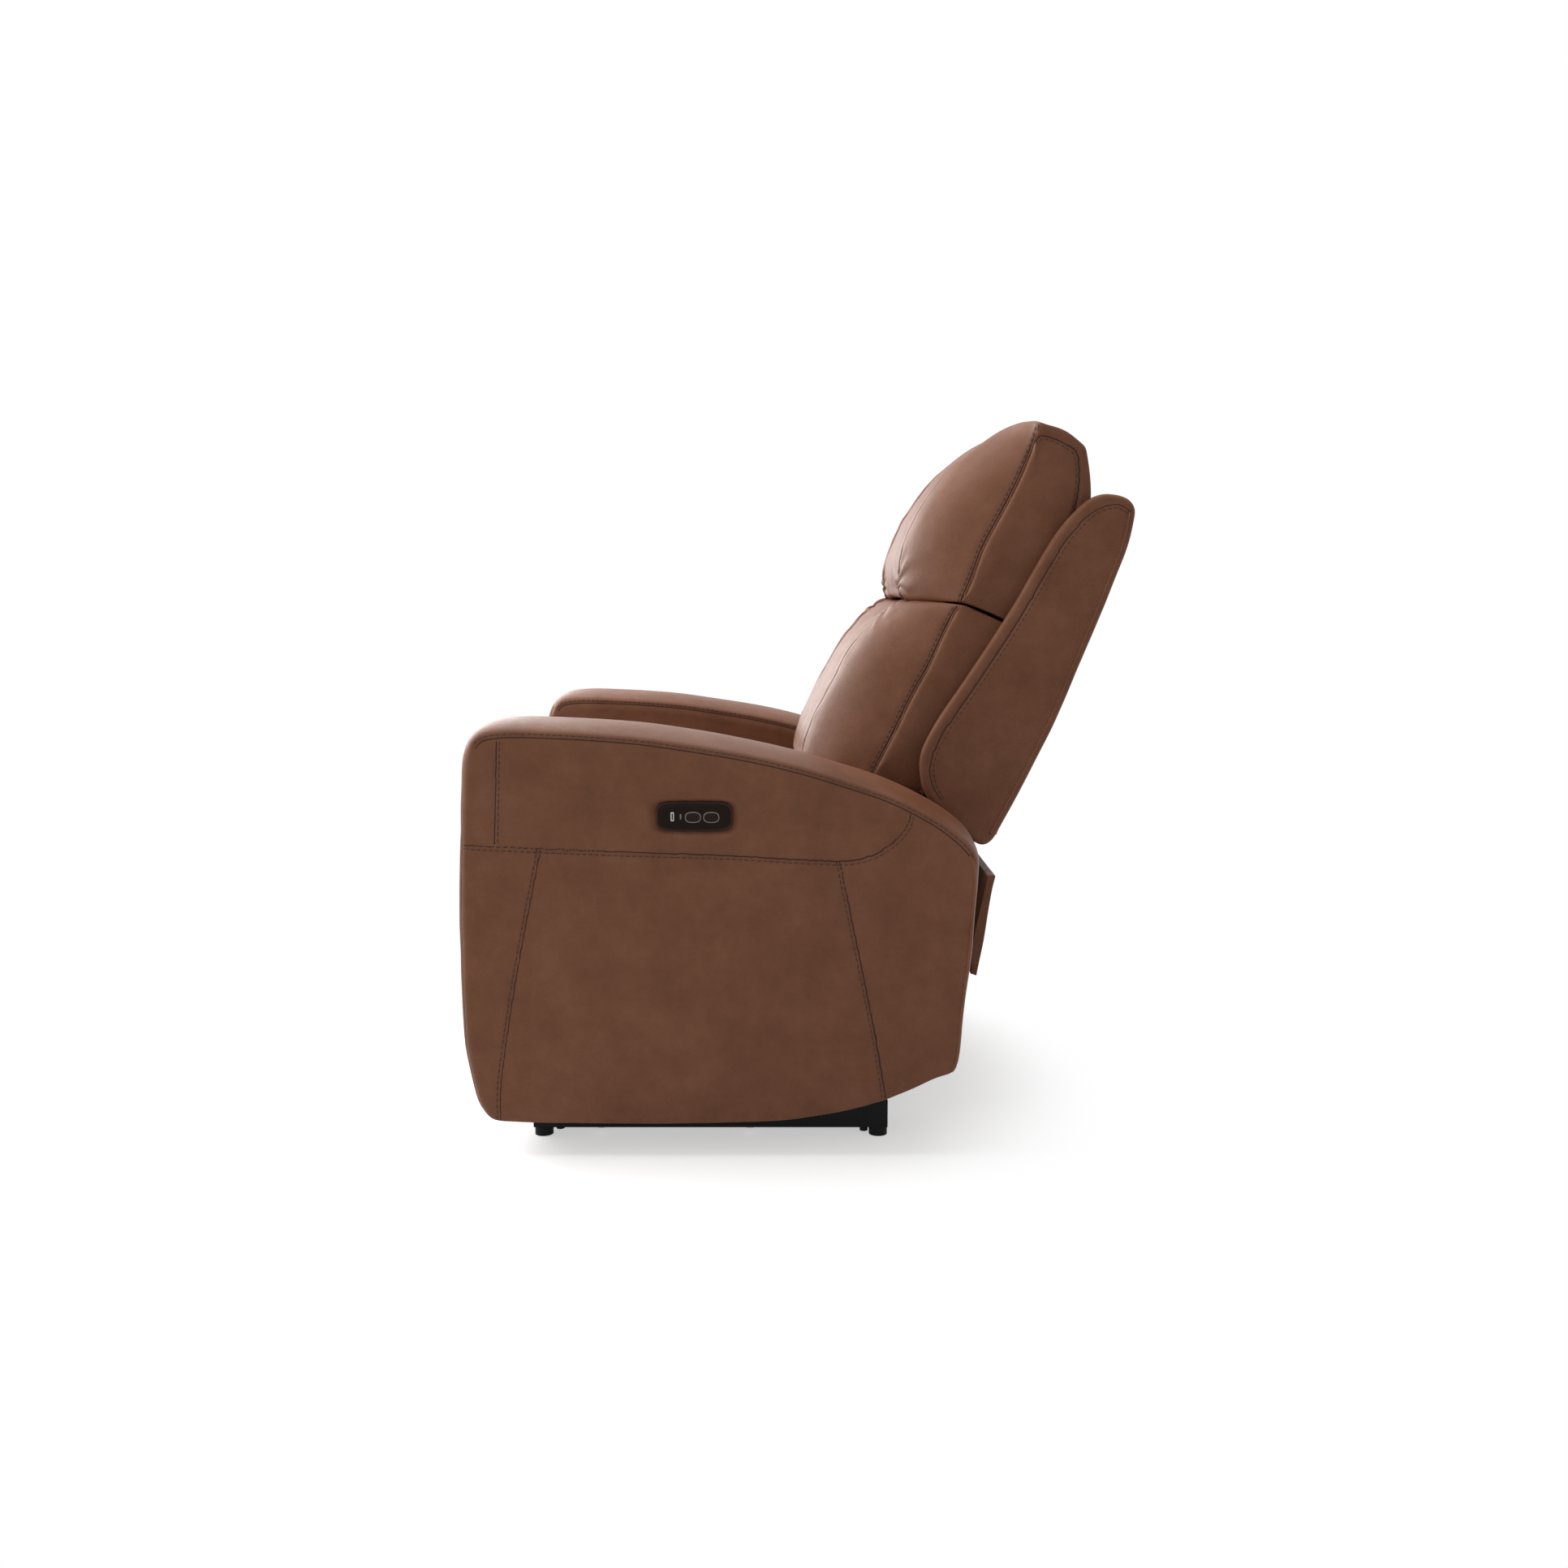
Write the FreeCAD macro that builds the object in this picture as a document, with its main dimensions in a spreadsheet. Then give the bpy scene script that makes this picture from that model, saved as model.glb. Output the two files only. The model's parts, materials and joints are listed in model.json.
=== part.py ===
"""Power recliner armchair, built as an assembly of separate sub-parts.

Millimetres. +X is the sitter's left, -Y the front, +Z up. The origin lies on the
floor under the middle of the whole chair. Side outlines are drawn in the YZ plane
and padded along X.
"""
import FreeCAD
import Part
import math
import os

# ---------------------------------------------------------------- driving sizes
SIZES = (
    ("seat_width", 590.0, "clear width between the two arms"),
    ("arm_width", 175.0, "width of one arm"),
    ("arm_height", 599.0, "height of the seam under the arm top, at the front"),
    ("arm_crown", 19.0, "rise of the padded arm top above its seam, at the front"),
    ("arm_floor_gap", 54.0, "height of the arms' underside above the floor"),
    ("arm_outer_pad", 30.0, "thickness of the outer side cover"),
    ("arm_inner_pad", 18.0, "thickness of the inner side cover"),
    ("arm_front_face", 486.0, "foremost point of the arms, in front of the origin"),
    ("arm_front_pad", 46.0, "thickness of the padded arm front"),
    ("rail_inset", 75.0, "distance of each base rail from the arm's inner face"),
    ("rail_centre", "=seat_width / 2 + rail_inset", "distance of each base rail from the middle"),
    ("rail_width", 30.0, "width of a base rail"),
    ("rail_bottom", 14.0, "height of the rails' underside"),
    ("tube_size", 24.0, "size of the square cross tubes"),
    ("tube_wall", 2.0, "wall of the rails and tubes"),
    ("glide_radius", 13.5, "radius of a floor glide"),
    ("glide_front", -385.0, "place of the front glides along Y"),
    ("glide_rear", 109.0, "place of the rear glides along Y"),
    ("plate", 4.0, "thickness of every steel plate and link"),
    ("plate_gap", 4.0, "side gap between plates that pass each other"),
    ("arm_clearance", 8.0, "gap between the base plates and the arms"),
    ("crank_gap", 1.0, "extra side gap between the seat plates and the cranks"),
    ("pin_radius", 5.0, "radius of the link pins"),
    ("pin_clearance", 0.05, "radial running clearance of a link on its pin"),
    ("link_end", 10.0, "radius of a link's round end"),
    ("swing_length", 120.0, "pivot distance of the seat swing links"),
    ("swing_tilt", 25.0, "rearward tilt of the swing links at rest, in degrees"),
    ("swing_height", 90.0, "height of the swing links' lower pivots"),
    ("swing_front", -300.0, "place of the front lower pivot along Y"),
    ("swing_rear", 0.0, "place of the rear lower pivot along Y"),
    ("crank_y", -223.0, "footrest crank pivot along Y"),
    ("crank_z", 270.0, "footrest crank pivot height"),
    ("crank_length", 215.0, "pivot distance of the crank"),
    ("crank_angle", -107.7, "direction of the folded crank, in degrees"),
    ("foot_link_length", 215.2, "pivot distance of the foot links"),
    ("foot_link_angle", 127.8, "direction of the folded foot link, in degrees"),
    ("stay_offset", 50.0, "distance between the foot link and stay link pivots"),
    ("stay_angle", 97.8, "direction from the foot link pivot to the stay pivot"),
    ("back_pivot_y", 230.0, "back hinge along Y"),
    ("back_pivot_z", 400.0, "back hinge height"),
    ("back_pin_radius", 6.0, "radius of the back hinge pin"),
    ("back_lean", 22.4, "lean of the back at rest, in degrees from upright"),
    ("back_length", 510.0, "length of the shell along its lean"),
    ("back_panel", 12.0, "thickness of the outer back panel"),
    ("back_frame_depth", 38.0, "depth of the wooden back frame"),
    ("wing_outer", "=seat_width / 2 - arm_clearance - 3 * plate - 3 * plate_gap - crank_gap + wing_thickness",
     "outer face of a side wing from the middle"),
    ("wing_thickness", 23.0, "thickness of a side wing"),
    ("cushion_gap", 12.0, "gap between a back cushion and its wing"),
    ("cushion_half", "=wing_outer - wing_thickness - cushion_gap", "half width of the back cushions"),
    ("seat_cushion_top", 490.0, "height of the seat cushion's top"),
    ("seat_cushion_front", -443.0, "front of the seat cushion along Y"),
    ("seat_cushion_rear", 105.0, "rear of the seat cushion along Y"),
    ("seat_side_gap", 3.0, "gap between the seat cushion and each arm"),
    ("frame_gap", 5.0, "gap between the wooden seat frame and the foot links"),
    ("frame_half", "=seat_width / 2 - arm_clearance - 5 * plate - 4 * plate_gap - crank_gap - frame_gap",
     "half width of the wooden seat frame"),
    ("frame_bottom", 300.0, "underside of the wooden seat frame"),
    ("frame_rail", 45.0, "height of the wooden seat rails"),
    ("frame_rail_width", 20.0, "width of the wooden seat rails"),
    ("web_thickness", 2.0, "thickness of the elastic seat webbing"),
    ("soft_gap", 0.3, "gap between a cushion and what it lies on"),
    ("footrest_gap", 10.0, "gap between the footrest pad and each arm"),
    ("footrest_half", "=seat_width / 2 - footrest_gap", "half width of the footrest pad"),
    ("footrest_bottom", 90.0, "lower edge of the folded footrest pad"),
    ("footrest_top", 420.0, "upper edge of the folded footrest pad"),
    ("footrest_front", -487.0, "front face of the folded footrest pad"),
    ("footrest_pad", 30.0, "thickness of the footrest pad"),
    ("footrest_board", 10.0, "thickness of the footrest board"),
    ("panel_y", -154.0, "middle of the control panel along Y"),
    ("panel_z", 487.0, "middle of the control panel's height"),
    ("panel_width", 99.0, "length of the control panel"),
    ("panel_height", 36.0, "height of the control panel"),
    ("panel_inset", 2.0, "depth of the control panel under the arm's face"),
    ("button_length", 20.0, "length of an oval button"),
    ("button_height", 13.0, "height of an oval button"),
    ("button_gap", 0.3, "gap round a button in the bezel"),
    ("bezel_depth", 13.0, "depth of the bezel"),
    ("button_travel", 1.5, "travel of a button"),
)

doc = FreeCAD.newDocument("recliner_armchair")
sheet = doc.addObject("Spreadsheet::Sheet", "sizes")
for row, (alias, number, meaning) in enumerate(SIZES, start=1):
    sheet.set(f"A{row}", meaning)
    sheet.set(f"B{row}", str(number))
    sheet.setAlias(f"B{row}", alias)
doc.recompute()

nodes = []


def size(alias):
    """The number in the sheet's cell of that name."""
    return float(sheet.get(alias))


def keep(item, label):
    """Names a finished sub-part and lists it as a node."""
    item.Label = label
    nodes.append(item)
    return item


def polar(start, distance, degrees):
    """The point at a distance and direction from a start point, in the YZ plane."""
    angle = math.radians(degrees)
    return (start[0] + distance * math.cos(angle), start[1] + distance * math.sin(angle))


# ---------------------------------------------------------------- shape helpers
def draw_loop(sketch, points):
    """Draws one closed loop. A point of four numbers is an arc's middle and end."""
    first = points[0]
    here = first[-2:]
    for point in list(points[1:]) + [first[-2:]]:
        start = FreeCAD.Vector(here[0], here[1], 0)
        end = FreeCAD.Vector(point[-2], point[-1], 0)
        if len(point) == 4:
            middle = FreeCAD.Vector(point[0], point[1], 0)
            sketch.addGeometry(Part.Arc(start, middle, end))
        elif (end - start).Length > 1e-6:
            sketch.addGeometry(Part.LineSegment(start, end))
        here = point[-2:]


def draw_circle(sketch, centre, radius):
    """Draws one round hole or disc."""
    middle = FreeCAD.Vector(centre[0], centre[1], 0)
    sketch.addGeometry(Part.Circle(middle, FreeCAD.Vector(0, 0, 1), radius))


def side_body(name, outline, left, thickness, holes=(), windows=()):
    """A body padded along +X by thickness, from the plane X = left."""
    body = doc.addObject("PartDesign::Body", name)
    body.Label = name
    plane = [item for item in body.Origin.OriginFeatures if item.Role == "YZ_Plane"][0]
    sketch = body.newObject("Sketcher::SketchObject", name + "_profile")
    sketch.AttachmentSupport = (plane, [""])
    sketch.MapMode = "FlatFace"
    draw_loop(sketch, outline)
    for window in windows:
        draw_loop(sketch, window)
    for centre, radius in holes:
        draw_circle(sketch, centre, radius)
    pad = body.newObject("PartDesign::Pad", name + "_pad")
    pad.Profile = sketch
    pad.setExpression("Length", thickness)
    body.setExpression("Placement.Base.x", left)
    return body


def group(label, items):
    """One node that holds several separate solids."""
    item = doc.addObject("Part::Compound", label)
    item.Links = items
    return keep(item, label)


def mirrored_pair(label, outline, inner, thickness, holes=(), windows=()):
    """The same side piece on the left and on the right, as one node."""
    left = side_body(label + "_left", outline, inner, thickness, holes, windows)
    right = side_body(label + "_right", outline, f"-({inner}) - ({thickness})",
                      thickness, holes, windows)
    return group(label, [left, right])


def box_part(name, low, high):
    """A block between two corners, each given as three expressions."""
    item = doc.addObject("Part::Box", name)
    for field, axis, start, end in zip(("Length", "Width", "Height"), "xyz", low, high):
        item.setExpression(field, f"({end}) - ({start})")
        item.setExpression(f"Placement.Base.{axis}", start)
    return item


def tube_part(name, low, high, along):
    """A square tube between two corners, open at both ends along one axis."""
    wall = "sizes.tube_wall"
    inner_low = [a if axis == along else f"{a} + {wall}" for axis, a in zip("xyz", low)]
    inner_high = [a if axis == along else f"{a} - {wall}" for axis, a in zip("xyz", high)]
    outer = box_part(name + "_outside", low, high)
    inner = box_part(name + "_bore", inner_low, inner_high)
    item = doc.addObject("Part::Cut", name)
    item.Base = outer
    item.Tool = inner
    return item


def pin_part(name, start_x, length, centre, radius):
    """A round pin along +X, from the plane X = start_x."""
    item = doc.addObject("Part::Cylinder", name)
    item.setExpression("Radius", radius)
    item.setExpression("Height", length)
    item.Placement = FreeCAD.Placement(FreeCAD.Vector(0, centre[0], centre[1]),
                                       FreeCAD.Rotation(FreeCAD.Vector(0, 1, 0), 90))
    item.setExpression("Placement.Base.x", start_x)
    return item


def post_part(name, x, y, low, high, radius):
    """A round post along +Z between two heights."""
    item = doc.addObject("Part::Cylinder", name)
    item.setExpression("Radius", radius)
    item.setExpression("Height", f"({high}) - ({low})")
    item.setExpression("Placement.Base.x", x)
    item.setExpression("Placement.Base.y", y)
    item.setExpression("Placement.Base.z", low)
    return item


def link_outline(start, end, radius):
    """A straight link with round ends about two pivots."""
    direction = math.degrees(math.atan2(end[1] - start[1], end[0] - start[0]))
    first = polar(start, radius, direction + 90)
    second = polar(start, radius, direction - 90)
    third = polar(end, radius, direction - 90)
    fourth = polar(end, radius, direction + 90)
    return [first, polar(start, radius, direction + 180) + second,
            third, polar(end, radius, direction) + fourth]


def oval(centre, length, height):
    """A slot shape with round ends, lying along Y."""
    half = (length - height) / 2
    left = (centre[0] - half, centre[1])
    right = (centre[0] + half, centre[1])
    return link_outline(left, right, height / 2)


# ---------------------------------------------------------------- side planes
ARM_INNER = "sizes.seat_width / 2"
ARM_OUTER = "(sizes.seat_width / 2 + sizes.arm_width)"
BASE_PLATE = f"({ARM_INNER} - sizes.arm_clearance - sizes.plate)"
SWING_PLANE = f"({BASE_PLATE} - sizes.plate_gap - sizes.plate)"
SEAT_PLATE = f"({SWING_PLANE} - sizes.plate_gap - sizes.plate)"
CRANK_PLANE = f"({SEAT_PLATE} - sizes.plate_gap - sizes.crank_gap - sizes.plate)"
FOOT_PLANE = f"({CRANK_PLANE} - sizes.plate_gap - sizes.plate)"

# ---------------------------------------------------------------- pivots
clearance = size("pin_clearance")
link_end = size("link_end")
pin_hole = size("pin_radius") + clearance

crank_pivot = (size("crank_y"), size("crank_z"))
elbow = polar(crank_pivot, size("crank_length"), size("crank_angle"))
stay_elbow = polar(elbow, size("stay_offset"), size("stay_angle"))
ottoman_pivot = polar(elbow, size("foot_link_length"), size("foot_link_angle"))
ottoman_stay = polar(ottoman_pivot, size("stay_offset"), size("stay_angle"))
swing_lean = 90 - size("swing_tilt")
swing_front_low = (size("swing_front"), size("swing_height"))
swing_rear_low = (size("swing_rear"), size("swing_height"))
swing_front_top = polar(swing_front_low, size("swing_length"), swing_lean)
swing_rear_top = polar(swing_rear_low, size("swing_length"), swing_lean)
back_pivot = (size("back_pivot_y"), size("back_pivot_z"))


# ---------------------------------------------------------------- arms
arm_top = size("arm_height")
arm_floor = size("arm_floor_gap")
front_face = -size("arm_front_face")
front_back = front_face + size("arm_front_pad")
crown = size("arm_crown")

arm_seam_front = (front_face + 16, arm_top)
arm_seam_turn = (-326, arm_top - 7.5)
arm_seam_slope = (38, arm_top - 66)
arm_seam_end = (240, arm_top - 172)
arm_rear_top = (244, arm_top - 177)
arm_rear_low = (227, 229)
arm_tail = (215, 124)
arm_tail_low = (210, 118)
bracket_top_rear = (118, arm_floor + 33)
bracket_top_mid = (59, arm_floor + 16)
arm_rise = (-43, arm_floor)


def seam_at(y):
    """The height of the arm's top seam on its nearly flat front stretch."""
    share = (y - arm_seam_front[0]) / (arm_seam_turn[0] - arm_seam_front[0])
    return arm_seam_front[1] + share * (arm_seam_turn[1] - arm_seam_front[1])


seam_back = (front_back, seam_at(front_back))
arm_side = [
    (front_back, arm_floor),
    seam_back,
    arm_seam_turn,
    (-124, arm_top - 32) + arm_seam_slope,
    (150, arm_top - 108) + arm_seam_end,
    arm_rear_top,
    (239, 349) + arm_rear_low,
    arm_tail,
    arm_tail_low,
    bracket_top_rear,
    bracket_top_mid,
    arm_rise,
]
arm_cap = [
    arm_seam_front,
    (-455, arm_top + crown - 5, -418, arm_top + crown),
    (-277, arm_top + crown - 5),
    (-109, arm_top + crown - 27, 4, arm_top + crown - 52),
    (120, arm_top - 70) + arm_rear_top,
    arm_seam_end,
    (150, arm_top - 108) + arm_seam_slope,
    (-124, arm_top - 32) + arm_seam_turn,
]
arm_front = [
    (front_back, arm_floor),
    (front_face + 34, arm_floor),
    (front_face + 19, arm_floor + 16, front_face + 9, arm_floor + 49),
    (front_face, arm_top - 260, front_face + 4, arm_top - 125),
    arm_seam_front,
    seam_back,
]
frame_margin = 56
arm_windows = (
    [(-400, arm_floor + frame_margin), (-400, arm_top - 75), (-90, arm_top - 90),
     (-90, arm_floor + frame_margin)],
    [(-50, arm_floor + frame_margin + 30), (-50, arm_top - 130), (60, arm_top - 130), (150, arm_top - 200),
     (150, arm_floor + frame_margin + 30)],
)
panel_middle = (size("panel_y"), size("panel_z"))
hole_half = size("panel_width") / 2 + 1.5
hole_tall = size("panel_height") / 2 + 1
panel_hole = [
    (panel_middle[0] - hole_half, panel_middle[1] - hole_tall),
    (panel_middle[0] - hole_half, panel_middle[1] + hole_tall),
    (panel_middle[0] + hole_half, panel_middle[1] + hole_tall),
    (panel_middle[0] + hole_half, panel_middle[1] - hole_tall),
]

for side, sign in (("left", 1), ("right", -1)):
    layers = (
        ("inner_cover", ARM_INNER, "sizes.arm_inner_pad", arm_side, ()),
        ("frame", f"({ARM_INNER} + sizes.arm_inner_pad)",
         "(sizes.arm_width - sizes.arm_inner_pad - sizes.arm_outer_pad)", arm_side, arm_windows),
        ("outer_cover", f"({ARM_OUTER} - sizes.arm_outer_pad)", "sizes.arm_outer_pad", arm_side,
         (panel_hole,) if sign > 0 else ()),
        ("top_pad", ARM_INNER, "sizes.arm_width", arm_cap, ()),
        ("front_pad", ARM_INNER, "sizes.arm_width", arm_front, ()),
    )
    for part, inner, thickness, outline, windows in layers:
        start = inner if sign > 0 else f"-({inner}) - ({thickness})"
        name = f"{side}_arm_{part}"
        keep(side_body(name, outline, start, thickness, windows=windows), name)


# ---------------------------------------------------------------- steel base
RAIL_IN = "(sizes.rail_centre - sizes.rail_width / 2)"
RAIL_OUT = "(sizes.rail_centre + sizes.rail_width / 2)"
rail_ends = ("sizes.glide_front - sizes.glide_radius", "sizes.glide_rear + sizes.glide_radius")
for side, low, high in (("left", RAIL_IN, RAIL_OUT), ("right", f"-{RAIL_OUT}", f"-{RAIL_IN}")):
    rail = tube_part(f"{side}_base_rail", (low, rail_ends[0], "sizes.rail_bottom"),
                     (high, rail_ends[1], "sizes.arm_floor_gap"), "y")
    keep(rail, f"{side}_base_rail")

TUBE_TOP = "(sizes.rail_bottom + sizes.tube_size)"
for end, place in (("front", "sizes.glide_front"), ("rear", "sizes.glide_rear")):
    tube = tube_part(f"{end}_cross_tube",
                     (f"-{RAIL_IN}", f"{place} - sizes.tube_size / 2", "sizes.rail_bottom"),
                     (RAIL_IN, f"{place} + sizes.tube_size / 2", TUBE_TOP), "x")
    keep(tube, f"{end}_cross_tube")

rail_sides = ("sizes.rail_centre", "-sizes.rail_centre")
corners = [(x, y) for x in rail_sides for y in ("glide_front", "glide_rear")]
group("floor_glides", [post_part(f"glide_{i}", x, f"sizes.{y}", "0", "sizes.rail_bottom",
                                 "sizes.glide_radius") for i, (x, y) in enumerate(corners)])
stop_places = {"glide_front": "sizes.glide_front + 24", "glide_rear": "sizes.glide_rear - 21"}
stop_bottoms = {"glide_front": "8", "glide_rear": "5"}
group("level_stops", [post_part(f"stop_{i}", x, stop_places[y], stop_bottoms[y], "sizes.rail_bottom", "6")
                      for i, (x, y) in enumerate(corners)])
bracket = [(47, arm_floor), (118, arm_floor), bracket_top_rear, bracket_top_mid,
           (47, arm_floor + (47 - arm_rise[0]) * 16 / (59 - arm_rise[0]))]
mirrored_pair("rear_foot_brackets", bracket, RAIL_IN, "sizes.rail_width",
              holes=(((66, arm_floor + 8), 3.0), ((106, arm_floor + 8), 3.0)))
bracket_bolts = [(start, y) for start in (RAIL_IN, f"-{RAIL_OUT} - 2") for y in (66, 106)]
group("bracket_bolts", [pin_part(f"bracket_bolt_{i}", start, "sizes.rail_width + 2", (y, arm_floor + 8), "3")
                        for i, (start, y) in enumerate(bracket_bolts)])
bolt_places = [(x, y) for x in rail_sides for y in ("-300", "-80")]
group("arm_bolts", [post_part(f"arm_bolt_{i}", x, y, "sizes.rail_bottom - 4", "sizes.rail_bottom", "7")
                    for i, (x, y) in enumerate(bolt_places)])

half_tube = size("tube_size") / 2
plate_low = size("rail_bottom") + size("tube_size")
base_plate = [
    (size("glide_front") - half_tube, plate_low),
    (size("glide_front") - half_tube, plate_low + 30),
    (swing_front_low[0] - 25, swing_front_low[1] + 18),
    (swing_rear_low[0] + 25, swing_rear_low[1] + 18),
    (size("glide_rear") + half_tube, plate_low + 30),
    (size("glide_rear") + half_tube, plate_low),
]
swing_pin_holes = ((swing_front_low, size("pin_radius")), (swing_rear_low, size("pin_radius")))
mirrored_pair("base_plates", base_plate, BASE_PLATE, "sizes.plate", holes=swing_pin_holes)
PIN_REACH = f"({BASE_PLATE} + sizes.plate - {SWING_PLANE} + 2)"
swing_pins = []
for name, place in (("front", swing_front_low), ("rear", swing_rear_low)):
    swing_pins.append(pin_part(f"swing_pin_{name}_left", f"{SWING_PLANE} - 2", PIN_REACH, place,
                               "sizes.pin_radius"))
    swing_pins.append(pin_part(f"swing_pin_{name}_right", f"-({BASE_PLATE} + sizes.plate)", PIN_REACH, place,
                               "sizes.pin_radius"))
group("swing_pins", swing_pins)

# ---------------------------------------------------------------- rear valance
valance = [(250, 226), (250, 262), (268, 353), (273, 375),
           (286, 375), (281, 353), (272, 285), (260, 223)]
keep(side_body("rear_valance", valance, f"-({ARM_INNER} - sizes.soft_gap)",
               f"2 * ({ARM_INNER} - sizes.soft_gap)"), "rear_valance")
keep(box_part("valance_rail", (f"-{ARM_INNER}", "222", "228"), (ARM_INNER, "250", "258")), "valance_rail")

# ---------------------------------------------------------------- seat glide links
for name, low, high in (("front", swing_front_low, swing_front_top),
                        ("rear", swing_rear_low, swing_rear_top)):
    mirrored_pair(f"{name}_swing_links", link_outline(low, high, link_end), SWING_PLANE, "sizes.plate",
                  holes=((low, pin_hole), (high, pin_hole)))

# ---------------------------------------------------------------- seat
frame_low = size("frame_bottom")
frame_top = frame_low + size("frame_rail")
seat_plate = [
    (swing_front_top[0] - 20, swing_front_top[1] - 18),
    (crank_pivot[0] - 22, frame_top),
    (size("seat_cushion_rear") + 8, frame_top),
    (back_pivot[0] - 16, back_pivot[1] + 15),
    (back_pivot[0] + 16, back_pivot[1] + 15),
    (back_pivot[0] + 16, back_pivot[1] - 16),
    (130, frame_low),
    (swing_rear_top[0] + 20, swing_rear_top[1] - 18),
]
seat_holes = tuple((place, size("pin_radius")) for place in (swing_front_top, swing_rear_top, crank_pivot))
mirrored_pair("seat_plates", seat_plate, SEAT_PLATE, "sizes.plate",
              holes=seat_holes + ((back_pivot, size("back_pin_radius")),))
pin_out = f"({SWING_PLANE} + sizes.plate + 2 - {SEAT_PLATE})"
seat_pins = []
for name, place in (("front", swing_front_top), ("rear", swing_rear_top)):
    seat_pins.append(pin_part(f"seat_pin_{name}_left", SEAT_PLATE, pin_out, place, "sizes.pin_radius"))
    seat_pins.append(pin_part(f"seat_pin_{name}_right", f"-({SEAT_PLATE} + {pin_out})", pin_out, place,
                              "sizes.pin_radius"))
pin_in = f"({SEAT_PLATE} + sizes.plate - {CRANK_PLANE} + 2)"
for name, place, radius in (("crank", crank_pivot, "sizes.pin_radius"),
                            ("back", back_pivot, "sizes.back_pin_radius")):
    seat_pins.append(pin_part(f"{name}_pin_left", f"{CRANK_PLANE} - 2", pin_in, place, radius))
    seat_pins.append(pin_part(f"{name}_pin_right", f"-({SEAT_PLATE} + sizes.plate)", pin_in, place, radius))
group("seat_pins", seat_pins)

FRAME_TOP = "(sizes.frame_bottom + sizes.frame_rail)"
FRAME_IN = "(sizes.frame_half - sizes.frame_rail_width)"
FRAME_FRONT = "(sizes.seat_cushion_front + 43)"
FRAME_REAR = "(sizes.seat_cushion_rear - 5)"
side_rails = []
for name, low, high in (("left", FRAME_IN, "sizes.frame_half"),
                        ("right", "-sizes.frame_half", f"-{FRAME_IN}")):
    side_rails.append(box_part(f"seat_side_rail_{name}", (low, FRAME_FRONT, "sizes.frame_bottom"),
                               (high, FRAME_REAR, FRAME_TOP)))
group("seat_side_rails", side_rails)
seat_cross_rails = []
for end, low, high in (("front", FRAME_FRONT, f"{FRAME_FRONT} + sizes.frame_rail_width"),
                       ("rear", f"{FRAME_REAR} - 30", FRAME_REAR)):
    seat_cross_rails.append(box_part(f"seat_{end}_rail", (f"-{FRAME_IN}", low, "sizes.frame_bottom"),
                                     (FRAME_IN, high, FRAME_TOP)))
group("seat_cross_rails", seat_cross_rails)
spacers = []
for index, start in enumerate(("-120", "40")):
    for name, low, high in (("left", "sizes.frame_half", SEAT_PLATE),
                            ("right", f"-{SEAT_PLATE}", "-sizes.frame_half")):
        spacers.append(box_part(f"spacer_{index}_{name}", (low, start, "sizes.frame_bottom + 5"),
                                (high, f"{start} + 40", f"{FRAME_TOP} - 5")))
group("seat_spacers", spacers)
WEB_TOP = f"({FRAME_TOP} + sizes.web_thickness)"
group("seat_webbing", [box_part(f"webbing_{i}", (f"{x} - 28", FRAME_FRONT, FRAME_TOP),
                                (f"{x} + 28", FRAME_REAR, WEB_TOP))
                       for i, x in enumerate((-180, -90, 0, 90, 180))])
cushion_side = f"({ARM_INNER} - sizes.seat_side_gap)"
cushion_low = frame_top + size("web_thickness") + size("soft_gap")
cushion_profile = [
    (size("seat_cushion_rear"), cushion_low),
    (size("seat_cushion_front") + 58, cushion_low),
    (size("seat_cushion_front"), cushion_low + 25),
    (size("seat_cushion_front"), size("seat_cushion_top")),
    (size("seat_cushion_rear"), size("seat_cushion_top")),
]
keep(side_body("seat_cushion", cushion_profile, f"-{cushion_side}", f"2 * {cushion_side}"), "seat_cushion")

# ---------------------------------------------------------------- actuator
lever_length = 55.0
lever_end = polar(crank_pivot, lever_length, -47.5)
lever_dip = lever_length * (1 - math.sin(math.radians(47.5)))
keep(box_part("actuator_motor", ("-38", "60", "226"), ("38", "130", "sizes.frame_bottom")), "actuator_motor")
keep(tube_part("actuator_track", ("-15", "-165", "262"), ("15", "60", "292"), "y"), "actuator_track")
power_inlet = doc.addObject("Part::Cylinder", "power_inlet")
power_inlet.Radius = 8
power_inlet.Height = 18
power_inlet.Placement = FreeCAD.Placement(FreeCAD.Vector(0, 130, 262),
                                          FreeCAD.Rotation(FreeCAD.Vector(1, 0, 0), -90))
keep(power_inlet, "power_inlet")
slot_top = lever_end[1] + size("pin_radius") + 3
slot_low = lever_end[1] - lever_dip - size("pin_radius") - 3
slot_half = size("pin_radius") + 2
fork = [(-55, 236), (-55, 252), (lever_end[0] - 17, 252), (lever_end[0] - 17, slot_low - 8),
        (lever_end[0] + 15, slot_low - 8), (lever_end[0] + 15, 236)]
slot = [(lever_end[0] - slot_half, slot_low), (lever_end[0] - slot_half, slot_top),
        (lever_end[0] + slot_half, slot_top), (lever_end[0] + slot_half, slot_low)]
mirrored_pair("drive_forks", fork, "8", "sizes.plate", windows=(slot,))
keep(box_part("drive_nut", ("-20", "-95", "252"), ("20", "-55", "262 - sizes.soft_gap")), "drive_nut")

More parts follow.
